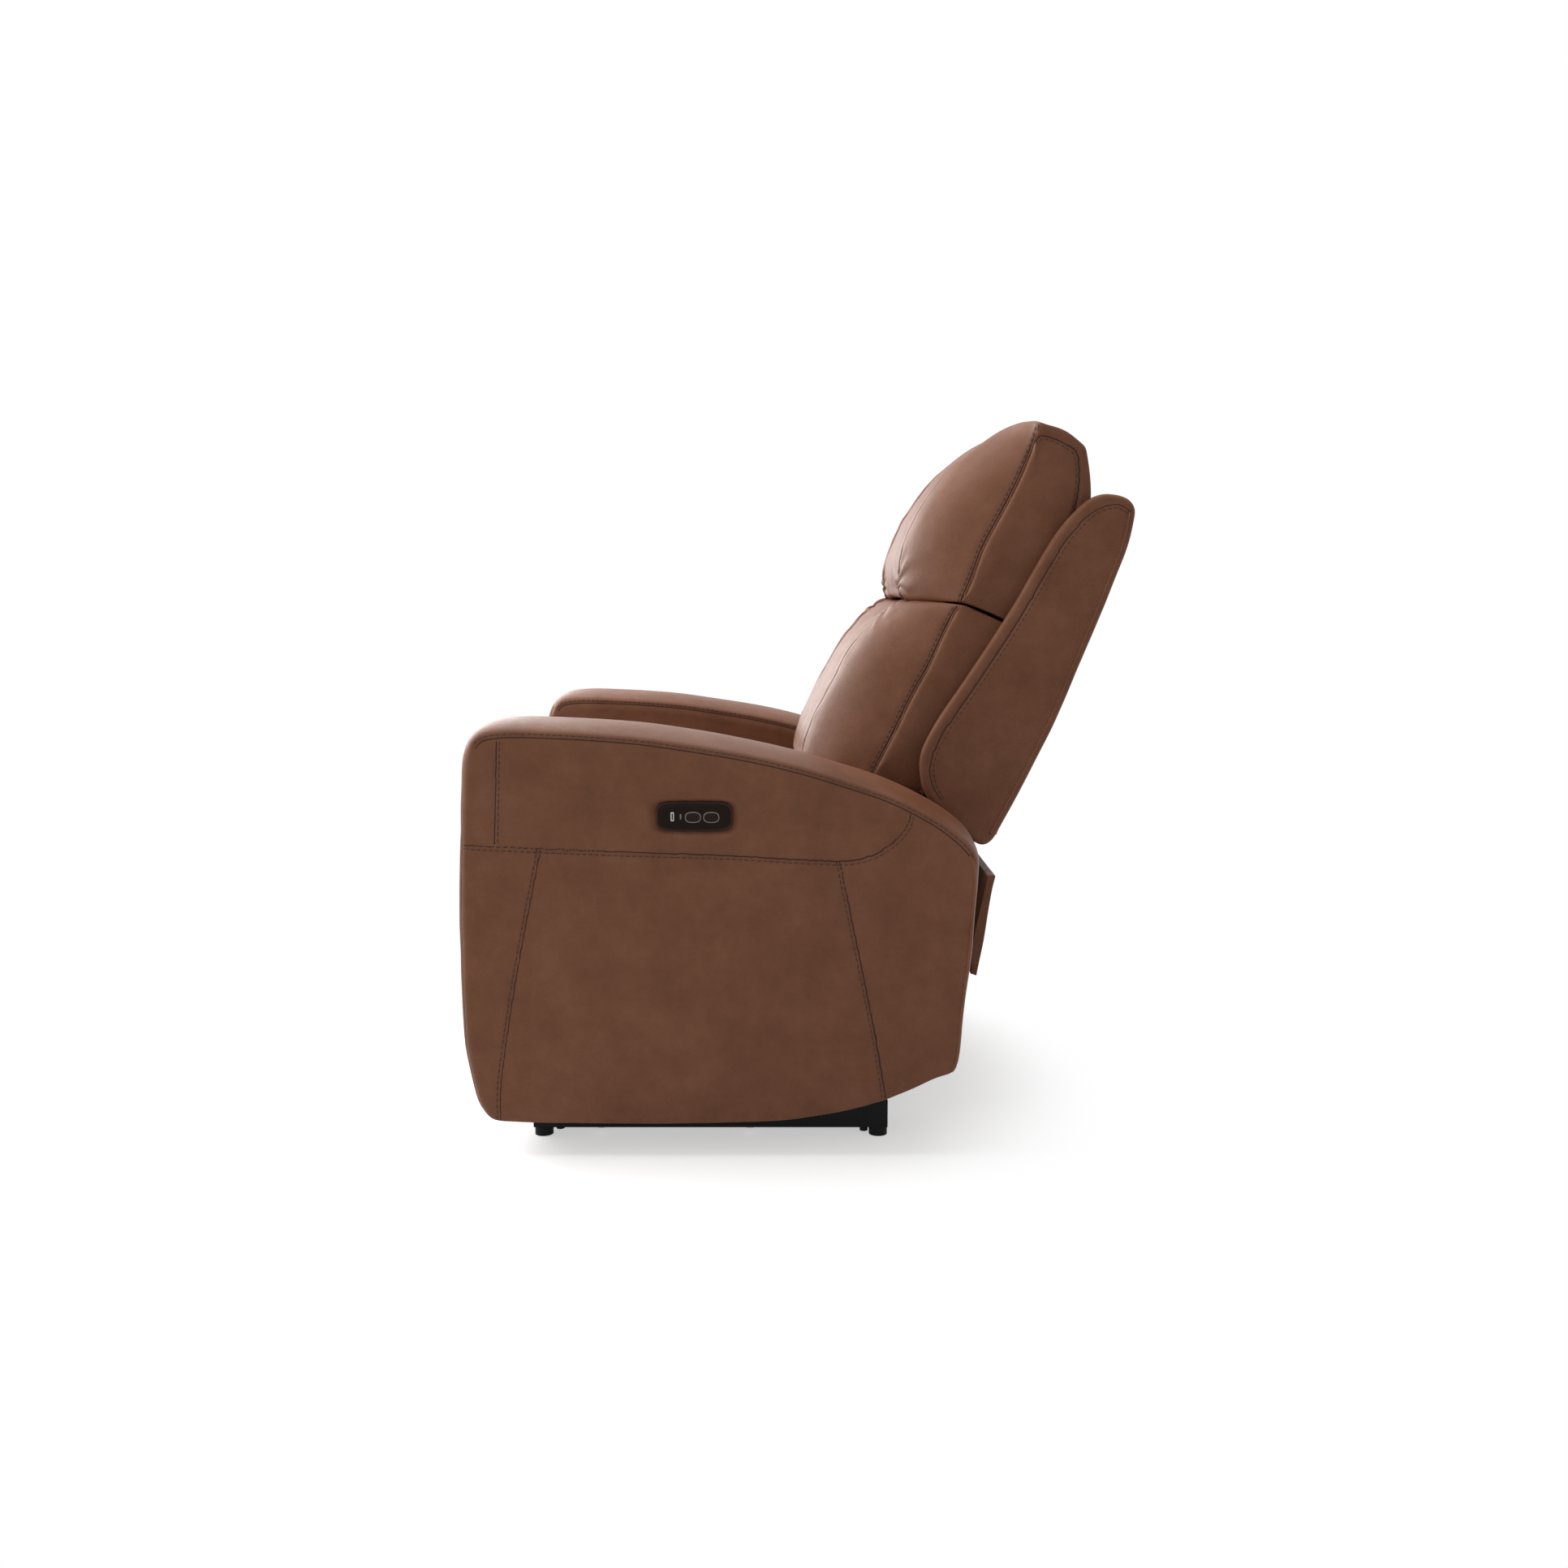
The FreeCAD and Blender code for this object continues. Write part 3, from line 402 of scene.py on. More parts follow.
def press(piece, seams, wrinkle=0.0, wrinkle_scale=9.0, seed=0.0, pucker=0.0):
    """Presses seams in as grooves with a soft swell beside them, and adds slack and short puckers."""
    mesh = piece.data
    count = len(mesh.vertices)
    places = np.empty(count * 3)
    normals = np.empty(count * 3)
    mesh.vertices.foreach_get("co", places)
    mesh.vertices.foreach_get("normal", normals)
    places = places.reshape(-1, 3)
    normals = normals.reshape(-1, 3)
    shift = np.zeros(count)
    if seams:
        tree, marks = seam_tree(seams)
        for index in range(count):
            _, nearest, distance = tree.find(places[index])
            if distance < 0.03:
                depth, width = marks[nearest]
                shift[index] -= depth * math.exp(-((distance / width) ** 2))
                shift[index] += 0.22 * depth * math.exp(-(((distance - 2.6 * width) / (1.6 * width)) ** 2))
                if pucker and depth > 0.004:
                    x, y, z = places[index]
                    wave = noise.noise(Vector((seed + x * 6.0, y * 34.0, z * 34.0)))
                    shift[index] += pucker * wave * math.exp(-(((distance - 0.011) / 0.009) ** 2))
    if wrinkle:
        for index in range(count):
            x, y, z = places[index] * wrinkle_scale
            shift[index] += wrinkle * noise.noise(Vector((x + seed, y * 0.8, z * 1.1)))
            shift[index] += 0.35 * wrinkle * noise.noise(Vector((x * 3.1, y * 2.2 + seed, z * 3.4)))
    places += normals * shift[:, None]
    mesh.vertices.foreach_set("co", places.ravel())
    mesh.update()


def surface_tree(piece):
    """A tree of a piece's surface for laying thread and cord on it."""
    mesh = piece.data
    return BVHTree.FromPolygons([v.co for v in mesh.vertices], [p.vertices for p in mesh.polygons])


def lay(tree, line, sink):
    """A line moved onto a surface and sunk below it."""
    laid = []
    for point in line:
        place, normal, _, _ = tree.find_nearest(Vector(point))
        laid.append(np.array(place - normal * sink))
    return np.array(laid)


TUBE_STEP = 0.004


def tube(line, radius, sides=6):
    """Points and faces of a thin tube along a line."""
    line = np.asarray(line, float)
    tangent = np.gradient(line, axis=0)
    tangent /= np.linalg.norm(tangent, axis=1)[:, None] + 1e-12
    reference = np.where(np.abs(tangent[:, :1]) < 0.8, np.array([[1.0, 0, 0]]), np.array([[0, 0, 1.0]]))
    side = np.cross(tangent, reference)
    side /= np.linalg.norm(side, axis=1)[:, None] + 1e-12
    up = np.cross(side, tangent)
    points = []
    for k in range(sides):
        angle = 2 * math.pi * k / sides
        points.append(line + radius * (math.cos(angle) * side + math.sin(angle) * up))
    points = np.stack(points, axis=1).reshape(-1, 3)
    faces = []
    for i in range(len(line) - 1):
        for k in range(sides):
            j = (k + 1) % sides
            faces.append((i * sides + k, i * sides + j, (i + 1) * sides + j, (i + 1) * sides + k))
    faces.append(tuple(range(sides))[::-1])
    faces.append(tuple((len(line) - 1) * sides + k for k in range(sides)))
    return points, faces


def join(parts):
    """Several point and face lists as one."""
    points = []
    faces = []
    base = 0
    for part_points, part_faces in parts:
        points.append(part_points)
        faces.extend(tuple(i + base for i in face) for face in part_faces)
        base += len(part_points)
    return np.vstack(points), faces


def bundle(name, parts, material, body):
    """Several tubes as one piece in the given material."""
    item = make_object(name, *join(parts), material, body)


def folds(name, piece, lines, body, radius=0.0009, sink=0.0004, material=PAINTED_SHADE):
    """A thin dark line of painted shade laid at the bottom of each seam, or a cord when it is larger."""
    tree = surface_tree(piece)
    parts = []
    for line in lines:
        line = resample(line, max(4, int(run_length(line) / TUBE_STEP)))
        parts.append(tube(lay(tree, line, sink), radius))
    bundle(name, parts, material, body)


def stitches(name, piece, lines, body, length=0.0056, gap=0.0030, radius=0.00075):
    """Rows of short thread stitches along lines, half sunk in the leather."""
    tree = surface_tree(piece)
    parts = []
    for line in lines:
        total = run_length(line)
        count = max(1, int(total / (length + gap)))
        fine = resample(line, count * 3 + 1)
        laid = lay(tree, fine, 0.0)
        for i in range(count):
            start, end = laid[3 * i], laid[3 * i + 2]
            _, normal, _, _ = tree.find_nearest(Vector(laid[3 * i + 1]))
            lift = np.array(normal) * radius * 0.5
            parts.append(tube([start - lift, laid[3 * i + 1] + lift, end - lift], radius, sides=5))
    bundle(name, parts, THREAD, body)


def channel_shade_tubes(name, lines, body, radius):
    """Dark tubes that follow lines exactly: painted shade at the bottom of the channel grooves."""
    parts = [tube(resample(line, max(4, int(run_length(line) / TUBE_STEP))), radius) for line in lines]
    bundle(name, parts, PAINTED_SHADE, body)


def mesh_lines(piece, places, xs, count, first, last):
    """The lines that the slices nearest to a few X places make on a piece, smoothed along."""
    lines = []
    for place in places:
        start = int(np.argmin(np.abs(xs - place))) * count
        line = np.array([piece.data.vertices[start + k].co for k in range(first, last)])
        for _ in range(4):
            line[1:-1] = 0.5 * line[1:-1] + 0.25 * (line[:-2] + line[2:])
        lines.append(line)
    return lines


def side_line(points, x, count=None):
    """A smooth line drawn on a side plane, in metres."""
    line = smooth(points, count or max(8, int(run_length(points) / 6)))
    return np.column_stack([np.full(len(line), x), line]) * np.array([1, MM, MM])


def shifted(line, offset):
    """A side line moved within its plane, to the left of its direction, in metres."""
    tangent = np.gradient(line[:, 1:], axis=0)
    tangent /= np.linalg.norm(tangent, axis=1)[:, None] + 1e-12
    normal = np.stack([-tangent[:, 1], tangent[:, 0]], axis=1)
    moved = line.copy()
    moved[:, 1:] += normal * offset
    return moved


# ---------------------------------------------------------------- arms
ARM_LOW, ARM_HIGH = box("left_arm_top_pad")
ARM_MIDDLE = (ARM_LOW.x + ARM_HIGH.x) / 2
ARM_HALF = (ARM_HIGH.x - ARM_LOW.x) / 2
SIDE_SWELL = 4.0
PANEL_LOW, PANEL_HIGH = box("switch_bezel")

ARM_CROWN = [(246, 432), (232, 458), (200, 486), (159, 510), (119, 529), (60, 549), (4, 566), (-52, 580),
             (-109, 591), (-165, 600), (-221, 608), (-277, 613), (-347, 617), (-418, 618), (-452, 612),
             (-468, 600)]
ARM_FRONT = [(-468, 600), (-477, 573), (-481, 515), (-483, 460), (-486, 351), (-485, 216), (-482, 150),
             (-474, 107), (-465, 71), (-448, 48)]
ARM_BASE = [(-448, 48), (-300, 46), (-43, 49), (9, 55), (59, 65), (110, 80), (155, 98), (190, 114),
            (211, 118)]
ARM_REAR = [(211, 118), (217, 130), (227, 229), (235, 290), (239, 349), (243, 390), (246, 432)]
ARM_RUNS = (ARM_CROWN, ARM_FRONT, ARM_BASE, ARM_REAR)
ARM_COUNTS = (150, 106, 136, 62)
ARM_INSETS = (21.0, 17.0, 3.0, 6.0)
ARM_EDGE = 30.0

MID_SEAM = [(-482, 447), (-367, 442), (-242, 437), (-116, 433), (9, 426), (59, 425), (90, 432), (119, 449),
            (138, 470), (146, 492)]
UPPER_FRONT_SEAM = [(-425, 592), (-428, 520), (-431, 448)]
LOWER_FRONT_SEAM = [(-367, 442), (-374, 407), (-397, 297), (-417, 187), (-430, 96), (-431, 50)]
LOWER_REAR_SEAM = [(47, 425), (59, 367), (79, 271), (99, 171), (114, 83)]


def arm_rings(slices):
    """Side outlines of one arm at several shares of its width, rounded along every edge."""
    base = soften(closed_loop(ARM_RUNS, ARM_COUNTS), 6)
    inset = np.concatenate([np.full(count, depth) for count, depth in zip(ARM_COUNTS, ARM_INSETS)])
    inset = soften(inset, 60)
    crown_share = np.zeros(sum(ARM_COUNTS))
    crown_share[:ARM_COUNTS[0]] = 1.0
    crown_share = soften(crown_share, 60)
    normal = outward(base)
    places = np.sin(np.linspace(-1, 1, slices) * math.pi / 2)
    rings = []
    for place in places:
        arch = 1 - math.sqrt(max(0.0, 1 - abs(place) ** 2.3))
        corner = quarter_round((1 - abs(place)) * ARM_HALF, ARM_EDGE)
        drop = inset * (crown_share * arch + (1 - crown_share) * corner)
        rings.append(base - normal * drop[:, None])
    return places, rings


def make_arm(side):
    """One padded arm with its seams and their dark lines of painted shade, stitch rows and piping."""
    sign = 1 if side == "left" else -1
    places, rings = arm_rings(41)
    xs = sign * ARM_MIDDLE + places * (ARM_HALF - SIDE_SWELL)
    parts = ("inner_cover", "frame", "outer_cover", "top_pad", "front_pad")
    arm = leather_piece(f"{side}_arm_leather", "base", loft(xs, rings, 66, SIDE_SWELL),
                        [f"{side}_arm_{part}" for part in parts])
    border = rings[0]
    top = border[:ARM_COUNTS[0] + 3]
    rear = np.vstack([border[-ARM_COUNTS[3]:], border[:2]])
    seams = []
    seam_shade_lines = []
    thread_lines = []
    for face in (-1, 1):
        x = (sign * ARM_MIDDLE + face * ARM_HALF) * MM
        outer = face == sign
        on_face = [(smooth(top, 220), 4.5, -5.0, 0.0030)]
        if outer:
            on_face += [(smooth(MID_SEAM, 140), 3.2, -5.0, 0.0022),
                        (smooth(UPPER_FRONT_SEAM, 40), 2.6, 4.5, 0.0016),
                        (smooth(LOWER_FRONT_SEAM, 90), 2.8, -4.5, 0.0018),
                        (smooth(LOWER_REAR_SEAM, 80), 2.8, -4.5, 0.0018)]
        for line, width, offset, depth in on_face:
            drawn = side_line(line, x, len(line))
            seams.append({"line": drawn, "depth": depth, "width": width * MM})
            seam_shade_lines.append(drawn)
            thread_lines.append(shifted(drawn, offset * MM))
    first, last = ARM_COUNTS[0] + 2, sum(ARM_COUNTS[:2]) - 6
    for face, start in ((sign, 0.27), (-sign, 0.0)):
        index = 6 if face * sign < 0 else len(xs) - 7
        index = index if sign > 0 else len(xs) - 1 - index
        ring = rings[index][first + int(start * (last - first)):last]
        edge = np.column_stack([np.full(len(ring), xs[index]), ring]) * MM
        seams.append({"line": edge, "depth": 0.0018, "width": 0.0030})
        seam_shade_lines.append(edge)
    press(arm, seams, wrinkle=0.0014, wrinkle_scale=7.0, seed=3.0 * sign)
    # Dark lines of painted shade along the seam grooves.
    folds(f"{side}_arm_seam_shade", arm, seam_shade_lines, "base")
    stitches(f"{side}_arm_stitches", arm, thread_lines, "base")
    edges = [side_line(rear, (sign * ARM_MIDDLE + face * (ARM_HALF - 1)) * MM, 80) for face in (-1, 1)]
    # The rear piping is in the lighter leather, a painted highlight.
    folds(f"{side}_arm_rear_piping", arm, edges, "base", radius=0.0022, sink=0.0004, material=PIPING_PAINTED_HIGHLIGHT)
    return arm


left_arm = make_arm("left")
make_arm("right")


# ---------------------------------------------------------------- control panel
def plate_shape(outline, start, depth, edge):
    """A plate with rounded front edges: an outline in the YZ plane, from X = start outwards."""
    outline = np.asarray(outline, float)
    normal = outward(outline)
    layers = [(0.0, 0.0), (depth - edge, 0.0)]
    for k in range(1, 5):
        angle = k / 4 * math.pi / 2
        layers.append((depth - edge + edge * math.sin(angle), edge * (1 - math.cos(angle))))
    xs = [start + x for x, _ in layers]
    rings = [outline - normal * inset for _, inset in layers]
    return loft(xs, rings, 5, 0.0)


def oval_outline(centre, length, height, count=40, power=2.6):
    """A rounded oval in the YZ plane."""
    angles = np.linspace(0, 2 * math.pi, count, endpoint=False)
    c, s = np.cos(angles), np.sin(angles)
    y = centre[0] + length / 2 * np.sign(c) * np.abs(c) ** (2 / power)
    z = centre[1] + height / 2 * np.sign(s) * np.abs(s) ** (2 / power)
    return np.column_stack([y, z])


def dent(piece, middle, length, height, floor_x, power=5.0, soft=4.0):
    """Presses the leather in behind an oval, down to a given X, with a soft edge."""
    for vertex in piece.data.vertices:
        place = vertex.co / MM
        if abs(place.x) < floor_x:
            continue
        share = (abs((place.y - middle[0]) / (length / 2)) ** power
                 + abs((place.z - middle[1]) / (height / 2)) ** power) ** (1 / power)
        away = (share - 1) * height / 2
        if away < soft:
            sunk = floor_x + (abs(place.x) - floor_x) * max(0.0, away / soft)
            vertex.co.x = math.copysign(sunk * MM, vertex.co.x)
    piece.data.update()


def panel_plate(name, outline, start, depth, edge, material, body="base"):
    """One plate of the control panel."""
    plate = make_object(name, *plate_shape(outline, start, depth, edge), material, body)
    return plate


def make_control_panel(arm):
    """The gloss bezel, a near-black sheet of painted shade in its recess, the outlined buttons, the port and
    the small slot.
    """
    middle = ((PANEL_LOW.y + PANEL_HIGH.y) / 2, (PANEL_LOW.z + PANEL_HIGH.z) / 2)
    length, height = PANEL_HIGH.y - PANEL_LOW.y, PANEL_HIGH.z - PANEL_LOW.z
    face = PANEL_HIGH.x
    dent(arm, middle, length + 6, height + 6, face - 6)
    recess = oval_outline(middle, length + 5, height + 5, 64, 5.0)
    # The recess round the bezel is a near-black sheet: painted shade.
    panel_plate("panel_recess_shade", recess, face - 10, 9.2, 2.0, PAINTED_SHADE)
    rim = oval_outline(middle, length, height, 96, 4.6)
    bezel = panel_plate("panel_bezel", rim, face - 9, 9.9, 2.4, GLOSS)
    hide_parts("switch_bezel")
    for name in ("return_button", "recline_button"):
        low, high = box(name)
        centre = ((low.y + high.y) / 2, (low.z + high.z) / 2)
        wide, tall = high.y - low.y, high.z - low.z
        ring = oval_outline(centre, wide + 2.2, tall + 2.2)
        panel_plate(f"{name}_outline", ring, face - 2, 3.3, 0.4, RIM)
        oval = oval_outline(centre, wide, tall)
        cap = panel_plate(f"{name}_cap", oval, low.x, high.x - low.x + 0.9, 1.6, BUTTON, name)
        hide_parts(name)
    low, high = box("usb_port")
    centre = ((low.y + high.y) / 2, (low.z + high.z) / 2)
    sleeve = oval_outline(centre, 4.6, 12.5, 32, 8.0)
    port = panel_plate("usb_port_sleeve", sleeve, face - 2, 3.4, 0.3, ZINC)
    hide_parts("usb_port")
    tongue = oval_outline(centre, 2.0, 9.6, 24, 8.0)
    panel_plate("usb_port_tongue", tongue, face - 2, 3.6, 0.2, RUBBER)
    indicator = oval_outline((centre[0] + 11.5, centre[1]), 2.2, 7.5, 24, 6.0)
    panel_plate("panel_indicator", indicator, face - 2, 3.2, 0.3, RIM)


make_control_panel(left_arm)


# ---------------------------------------------------------------- back shell
WING_OUTER = box("back_wings")[1].x
WING_THICK = 23.0
WING_EDGE = 9.0
WING_FRONT = [(192, 482), (180, 499), (174, 529), (175, 556), (196, 600), (239, 665), (304, 766), (370, 880),
              (396, 912), (420, 933), (440, 940), (464, 938)]
WING_TOP = [(464, 938), (478, 932), (487, 920), (487, 905)]
WING_REAR = [(487, 905), (478, 862), (463, 822), (442, 767), (420, 712), (398, 657), (375, 602), (349, 547),
             (321, 491), (297, 447), (286, 425)]
WING_FOOT = [(286, 425), (270, 416), (226, 449), (192, 482)]
WING_BAND = [(206, 487), (195, 505), (189, 530), (192, 552), (212, 594), (254, 656), (319, 757), (384, 870),
             (408, 899), (430, 917), (462, 924), (480, 914)]


def make_wing(side):
    """One leather side wing with a stitched front edge band and a piped rear edge."""
    sign = 1 if side == "left" else -1
    counts = (140, 12, 112, 30)
    base = soften(closed_loop((WING_FRONT, WING_TOP, WING_REAR, WING_FOOT), counts), 5)
    normal = outward(base)
    places = np.sin(np.linspace(-1, 1, 15) * math.pi / 2)
    middle = sign * (WING_OUTER - WING_THICK / 2)
    rings = []
    for place in places:
        drop = WING_EDGE * quarter_round((1 - abs(place)) * WING_THICK / 2, WING_EDGE)
        rings.append(base - normal * drop)
    xs = middle + places * (WING_THICK / 2 - 2.0)
    replaced = ["back_wings"] if side == "left" else []
    wing = leather_piece(f"{side}_back_wing", "back", loft(xs, rings, 24, 2.0), replaced)
    x = sign * WING_OUTER * MM
    band = side_line(WING_BAND, x, 140)
    seam = {"line": band, "depth": 0.0022, "width": 0.0028}
    press(wing, [seam], wrinkle=0.0009, wrinkle_scale=8.0, seed=sign)
    # A dark line of painted shade in the band's seam groove.
    folds(f"{side}_wing_seam_shade", wing, [band], "back")
    stitches(f"{side}_wing_stitches", wing, [shifted(band, -0.0048)], "back")
    rim = side_line(rings[0][sum(counts[:2]) - 2:sum(counts[:3])], x, 110)
    # The rear edge piping is in the lighter leather, a painted highlight.
    folds(f"{side}_wing_piping", wing, [rim], "back", radius=0.0020, sink=0.0002, material=PIPING_PAINTED_HIGHLIGHT)


for wing_side in ("left", "right"):
    make_wing(wing_side)


def make_back_cover():
    """The outer back cover, a slightly puffed leather panel with two upright seams, and its underside."""
    low, high = box("back_outer_panel")
    half = high.x - 1
    foot_inner, foot_outer = (low.y + 0.5, low.z + 4.5), (low.y + 11.5, low.z)
    top_outer, top_inner = (high.y - 0.5, high.z - 5.0), (high.y - 11.8, high.z - 0.5)
    rise = np.array(top_outer) - np.array(foot_outer)
    out = np.array([rise[1], -rise[0]]) / np.linalg.norm(rise)
    bow = [tuple(np.array(foot_outer) + rise * t + out * 5.0 * math.sin(math.pi * t))
           for t in (0, 0.25, 0.5, 0.75, 1)]
    runs = ([foot_outer] + bow[1:-1] + [top_outer], [top_outer, top_inner], [top_inner, foot_inner],
            [foot_inner, foot_outer])
    counts = (100, 6, 100, 6)
    full = closed_loop(runs, counts)
    flat = closed_loop(([foot_outer, top_outer],) + runs[1:], counts)
    xs = spread(half, 91)
    rings = [flat + (full - flat) * (1 - abs(x / half) ** 4) for x in xs]
    cover = leather_piece("back_cover_leather", "back", loft(xs, rings, 3, 0.0), ["back_outer_panel"])
    seams = []
    for share in (-0.62, 0.62):
        seams.append(np.column_stack([np.full(60, share * half), smooth(bow, 60)]) * MM)
    press(cover, [{"line": line, "depth": 0.002, "width": 0.003} for line in seams], wrinkle=0.0012,
          wrinkle_scale=6.0, seed=5.0)
    # Dark lines of painted shade along the two seam grooves.
    folds("back_cover_seam_shade", cover, seams, "back")
    threads = [line + np.array([offset * MM, 0, 0]) for line in seams for offset in (-5, 5)]
    stitches("back_cover_stitches", cover, threads, "back")


make_back_cover()


# ---------------------------------------------------------------- cushions
CUSHION_HALF = box("lumbar_cushion")[1].x
CHANNEL = 0.54
FAR_LOBE = 1.1
FAR_POWER = 1.1


def lobe(share, near):
    """How far a panel swells across the width: nothing at the channels and the sides."""
    size = abs(share)
    if size < CHANNEL:
        return 0.1 * (1 - (size / CHANNEL) ** 4)
    middle, half = (1 + CHANNEL) / 2, (1 - CHANNEL) / 2
    return (FAR_LOBE if share < 0 else near) * (1 - abs((size - middle) / half) ** 3)


def lean(share):
    """How a place leans, from -1 (back) at the near side to 0 at the far side."""
    t = min(1.0, max(0.0, (CHANNEL - share) / (CHANNEL + 0.8)))
    return t * t * (3 - 2 * t) - 1


def cushion_rings(centre, end, counts, xs, half, power, swell, near=1.0, forward=0.0, fade=0.0):
    """Side outlines that pass from a crowned middle outline to an end outline.

    near sets the near panel's swell, and forward how far in mm the near side stands back, where fade
    takes that away towards the top.
    """
    centre = soften(closed_loop(centre, counts), 3)
    end = soften(closed_loop(end, counts), 2)
    normal = outward(centre)
    front = np.zeros(len(centre))
    front[:counts[0]] = 1
    front = soften(front, 20)
    place = np.clip(np.arange(len(front)) / counts[0], 0, 1)
    forward = forward * (1 - fade * place)
    rings = []
    for x in xs:
        share = x / half
        blend = abs(share) ** (power if share > 0 or near == 1.0 else FAR_POWER * power)
        ring = centre + (end - centre) * blend
        reach = swell * lobe(share, near) + forward * lean(share) * (1 - blend)
        rings.append(ring + normal * (front * reach)[:, None])
    return rings


def channel_lines(rings, xs, half, first, last):
    """The two upright channel lines on the front of a cushion, in metres."""
    lines = []
    for sign in (-1, 1):
        index = int(np.argmin(np.abs(xs - sign * CHANNEL * half)))
        line = rings[index][first:last]
        lines.append(np.column_stack([np.full(len(line), xs[index]), line]) * MM)
    return lines


def gather(piece, anchors, reach=0.05, depth=0.0022, folds_round=9.0):
    """Small radiating puckers round a few points, where the leather is drawn in."""
    mesh = piece.data
    for vertex in mesh.vertices:
        for anchor in anchors:
            arm = vertex.co - Vector(anchor)
            distance = arm.length
            if distance < 2.6 * reach:
                angle = math.atan2(arm.x, arm.z)
                wave = math.sin(angle * folds_round + 3.0 * noise.noise(vertex.co * 25.0))
                fade = math.exp(-((distance / reach) ** 2)) * min(1.0, distance / 0.008)
                vertex.co += vertex.normal * wave * depth * fade
    mesh.update()


def make_back_cushion(name, node, centre, end, counts, welt_run, seed, near, forward, fade):
    """A three-panel back cushion with channels, a stitched welt and a flat side gusset."""
    xs = spread(CUSHION_HALF, 95, (-CHANNEL * CUSHION_HALF, CHANNEL * CUSHION_HALF))
    rings = cushion_rings(centre, end, counts, xs, CUSHION_HALF, 4.2, 13.0, near, forward, fade)
    cushion = leather_piece(name, "back", loft(xs, rings, 40, 7.0), [node])
    channels = channel_lines(rings, xs, CUSHION_HALF, 0, counts[0] + 2)
    seams = [{"line": line, "depth": 0.0075, "width": 0.0048} for line in channels]
    welts = []
    for sign, ring in ((-1, rings[0]), (1, rings[-1])):
        welt = np.column_stack([np.full(welt_run, sign * CUSHION_HALF), ring[:welt_run]]) * MM
        welts.append(welt)
        seams.append({"line": welt, "depth": 0.0022, "width": 0.0032})
    press(cushion, seams, wrinkle=0.0032, wrinkle_scale=6.5, seed=seed, pucker=0.0022)
    return cushion, channels, welts, xs, sum(counts)


LUMBAR_FRONT = [(-17, 534), (-5, 580), (18, 630), (44, 678), (64, 711), (91, 745), (109, 762), (130, 777),
                (147, 785)]
LUMBAR_TOP = [(147, 785), (190, 787), (236, 779), (290, 756), (352, 727)]
LUMBAR_REAR = [(352, 727), (250, 475)]
LUMBAR_BASE = [(250, 475), (176, 500), (60, 503), (8, 505), (-17, 534)]
LUMBAR_END_FRONT = [(104, 522), (136, 584), (163, 641), (190, 690), (216, 748), (232, 777)]
LUMBAR_END_TOP = [(232, 777), (240, 778), (262, 769), (290, 756), (352, 727)]
LUMBAR_END_BASE = [(250, 475), (200, 494), (150, 503), (116, 506), (104, 522)]
HEAD_FRONT = [(149, 792), (143, 829), (149, 866), (168, 913), (191, 950), (222, 988), (262, 1020),
              (305, 1043), (350, 1052)]
HEAD_TOP = [(350, 1052), (392, 1040), (419, 1016)]
HEAD_REAR = [(419, 1016), (427, 972), (423, 900), (354, 730)]
HEAD_BASE = [(354, 730), (290, 760), (236, 783), (190, 790), (149, 792)]
HEAD_END_FRONT = [(236, 782), (249, 812), (269, 866), (297, 919), (323, 972), (341, 1021), (346, 1046)]
HEAD_END_TOP = [(346, 1046), (386, 1034), (417, 1010)]
HEAD_END_REAR = [(417, 1010), (425, 968), (423, 900), (354, 730)]
HEAD_END_BASE = [(354, 730), (290, 760), (262, 772), (242, 781), (236, 782)]

lumbar, lumbar_channels, lumbar_welts, lumbar_xs, lumbar_count = make_back_cushion(
    "lumbar_cushion_leather", "lumbar_cushion", (LUMBAR_FRONT, LUMBAR_TOP, LUMBAR_REAR, LUMBAR_BASE),
    (LUMBAR_END_FRONT, LUMBAR_END_TOP, LUMBAR_REAR, LUMBAR_END_BASE), (96, 40, 50, 50), welt_run=96,
    seed=11.0, near=0.85, forward=7.0, fade=0.3)
head, head_channels, head_welts, head_xs, head_count = make_back_cushion(
    "head_cushion_leather", "head_cushion", (HEAD_FRONT, HEAD_TOP, HEAD_REAR, HEAD_BASE),
    (HEAD_END_FRONT, HEAD_END_TOP, HEAD_END_REAR, HEAD_END_BASE), (112, 24, 60, 44), welt_run=112,
    seed=23.0, near=0.9, forward=5.0, fade=1.0)
CAP_SEAM = [(338, 1018), (352, 1027), (384, 1017), (404, 1002), (408, 985), (408, 950), (400, 905),
            (385, 850)]
caps = [side_line(CAP_SEAM, sign * (CUSHION_HALF + 6) * MM, 90) for sign in (-1, 1)]
press(head, [{"line": line, "depth": 0.002, "width": 0.003} for line in caps])
# Dark lines of painted shade along the cap seams.
folds("head_cap_seam_shade", head, caps, "back", radius=0.0010, sink=0.0002)
stitches("head_cap_stitches", head, [shifted(line, -0.005) for line in caps], "back")
gather(lumbar, [tuple(line[-6]) for line in lumbar_channels])
gather(head, [tuple(line[6]) for line in head_channels])
for label, piece, welts, xs, count, last in (("lumbar", lumbar, lumbar_welts, lumbar_xs, lumbar_count, 98),
                                             ("head", head, head_welts, head_xs, head_count, 114)):
    grooves = mesh_lines(piece, (-CHANNEL * CUSHION_HALF, CHANNEL * CUSHION_HALF), xs, count, 0, last)
    # Dark tubes of painted shade in the channel grooves.
    channel_shade_tubes(f"{label}_channel_shade", grooves, "back", 0.0018)
    # The welts are in the lighter leather, a painted highlight.
    folds(f"{label}_welts", piece, welts, "back", radius=0.0016, sink=0.0002, material=PIPING_PAINTED_HIGHLIGHT)
    folds(f"{label}_welt_shadows", piece, [shifted(welt, 0.0022) for welt in welts], "back", radius=0.0010,
          sink=0.0001)
    rows = [shifted(welt, 0.0065) - np.array([math.copysign(0.001, welt[0, 0]), 0, 0]) for welt in welts]
    stitches(f"{label}_stitches", piece, rows, "back")


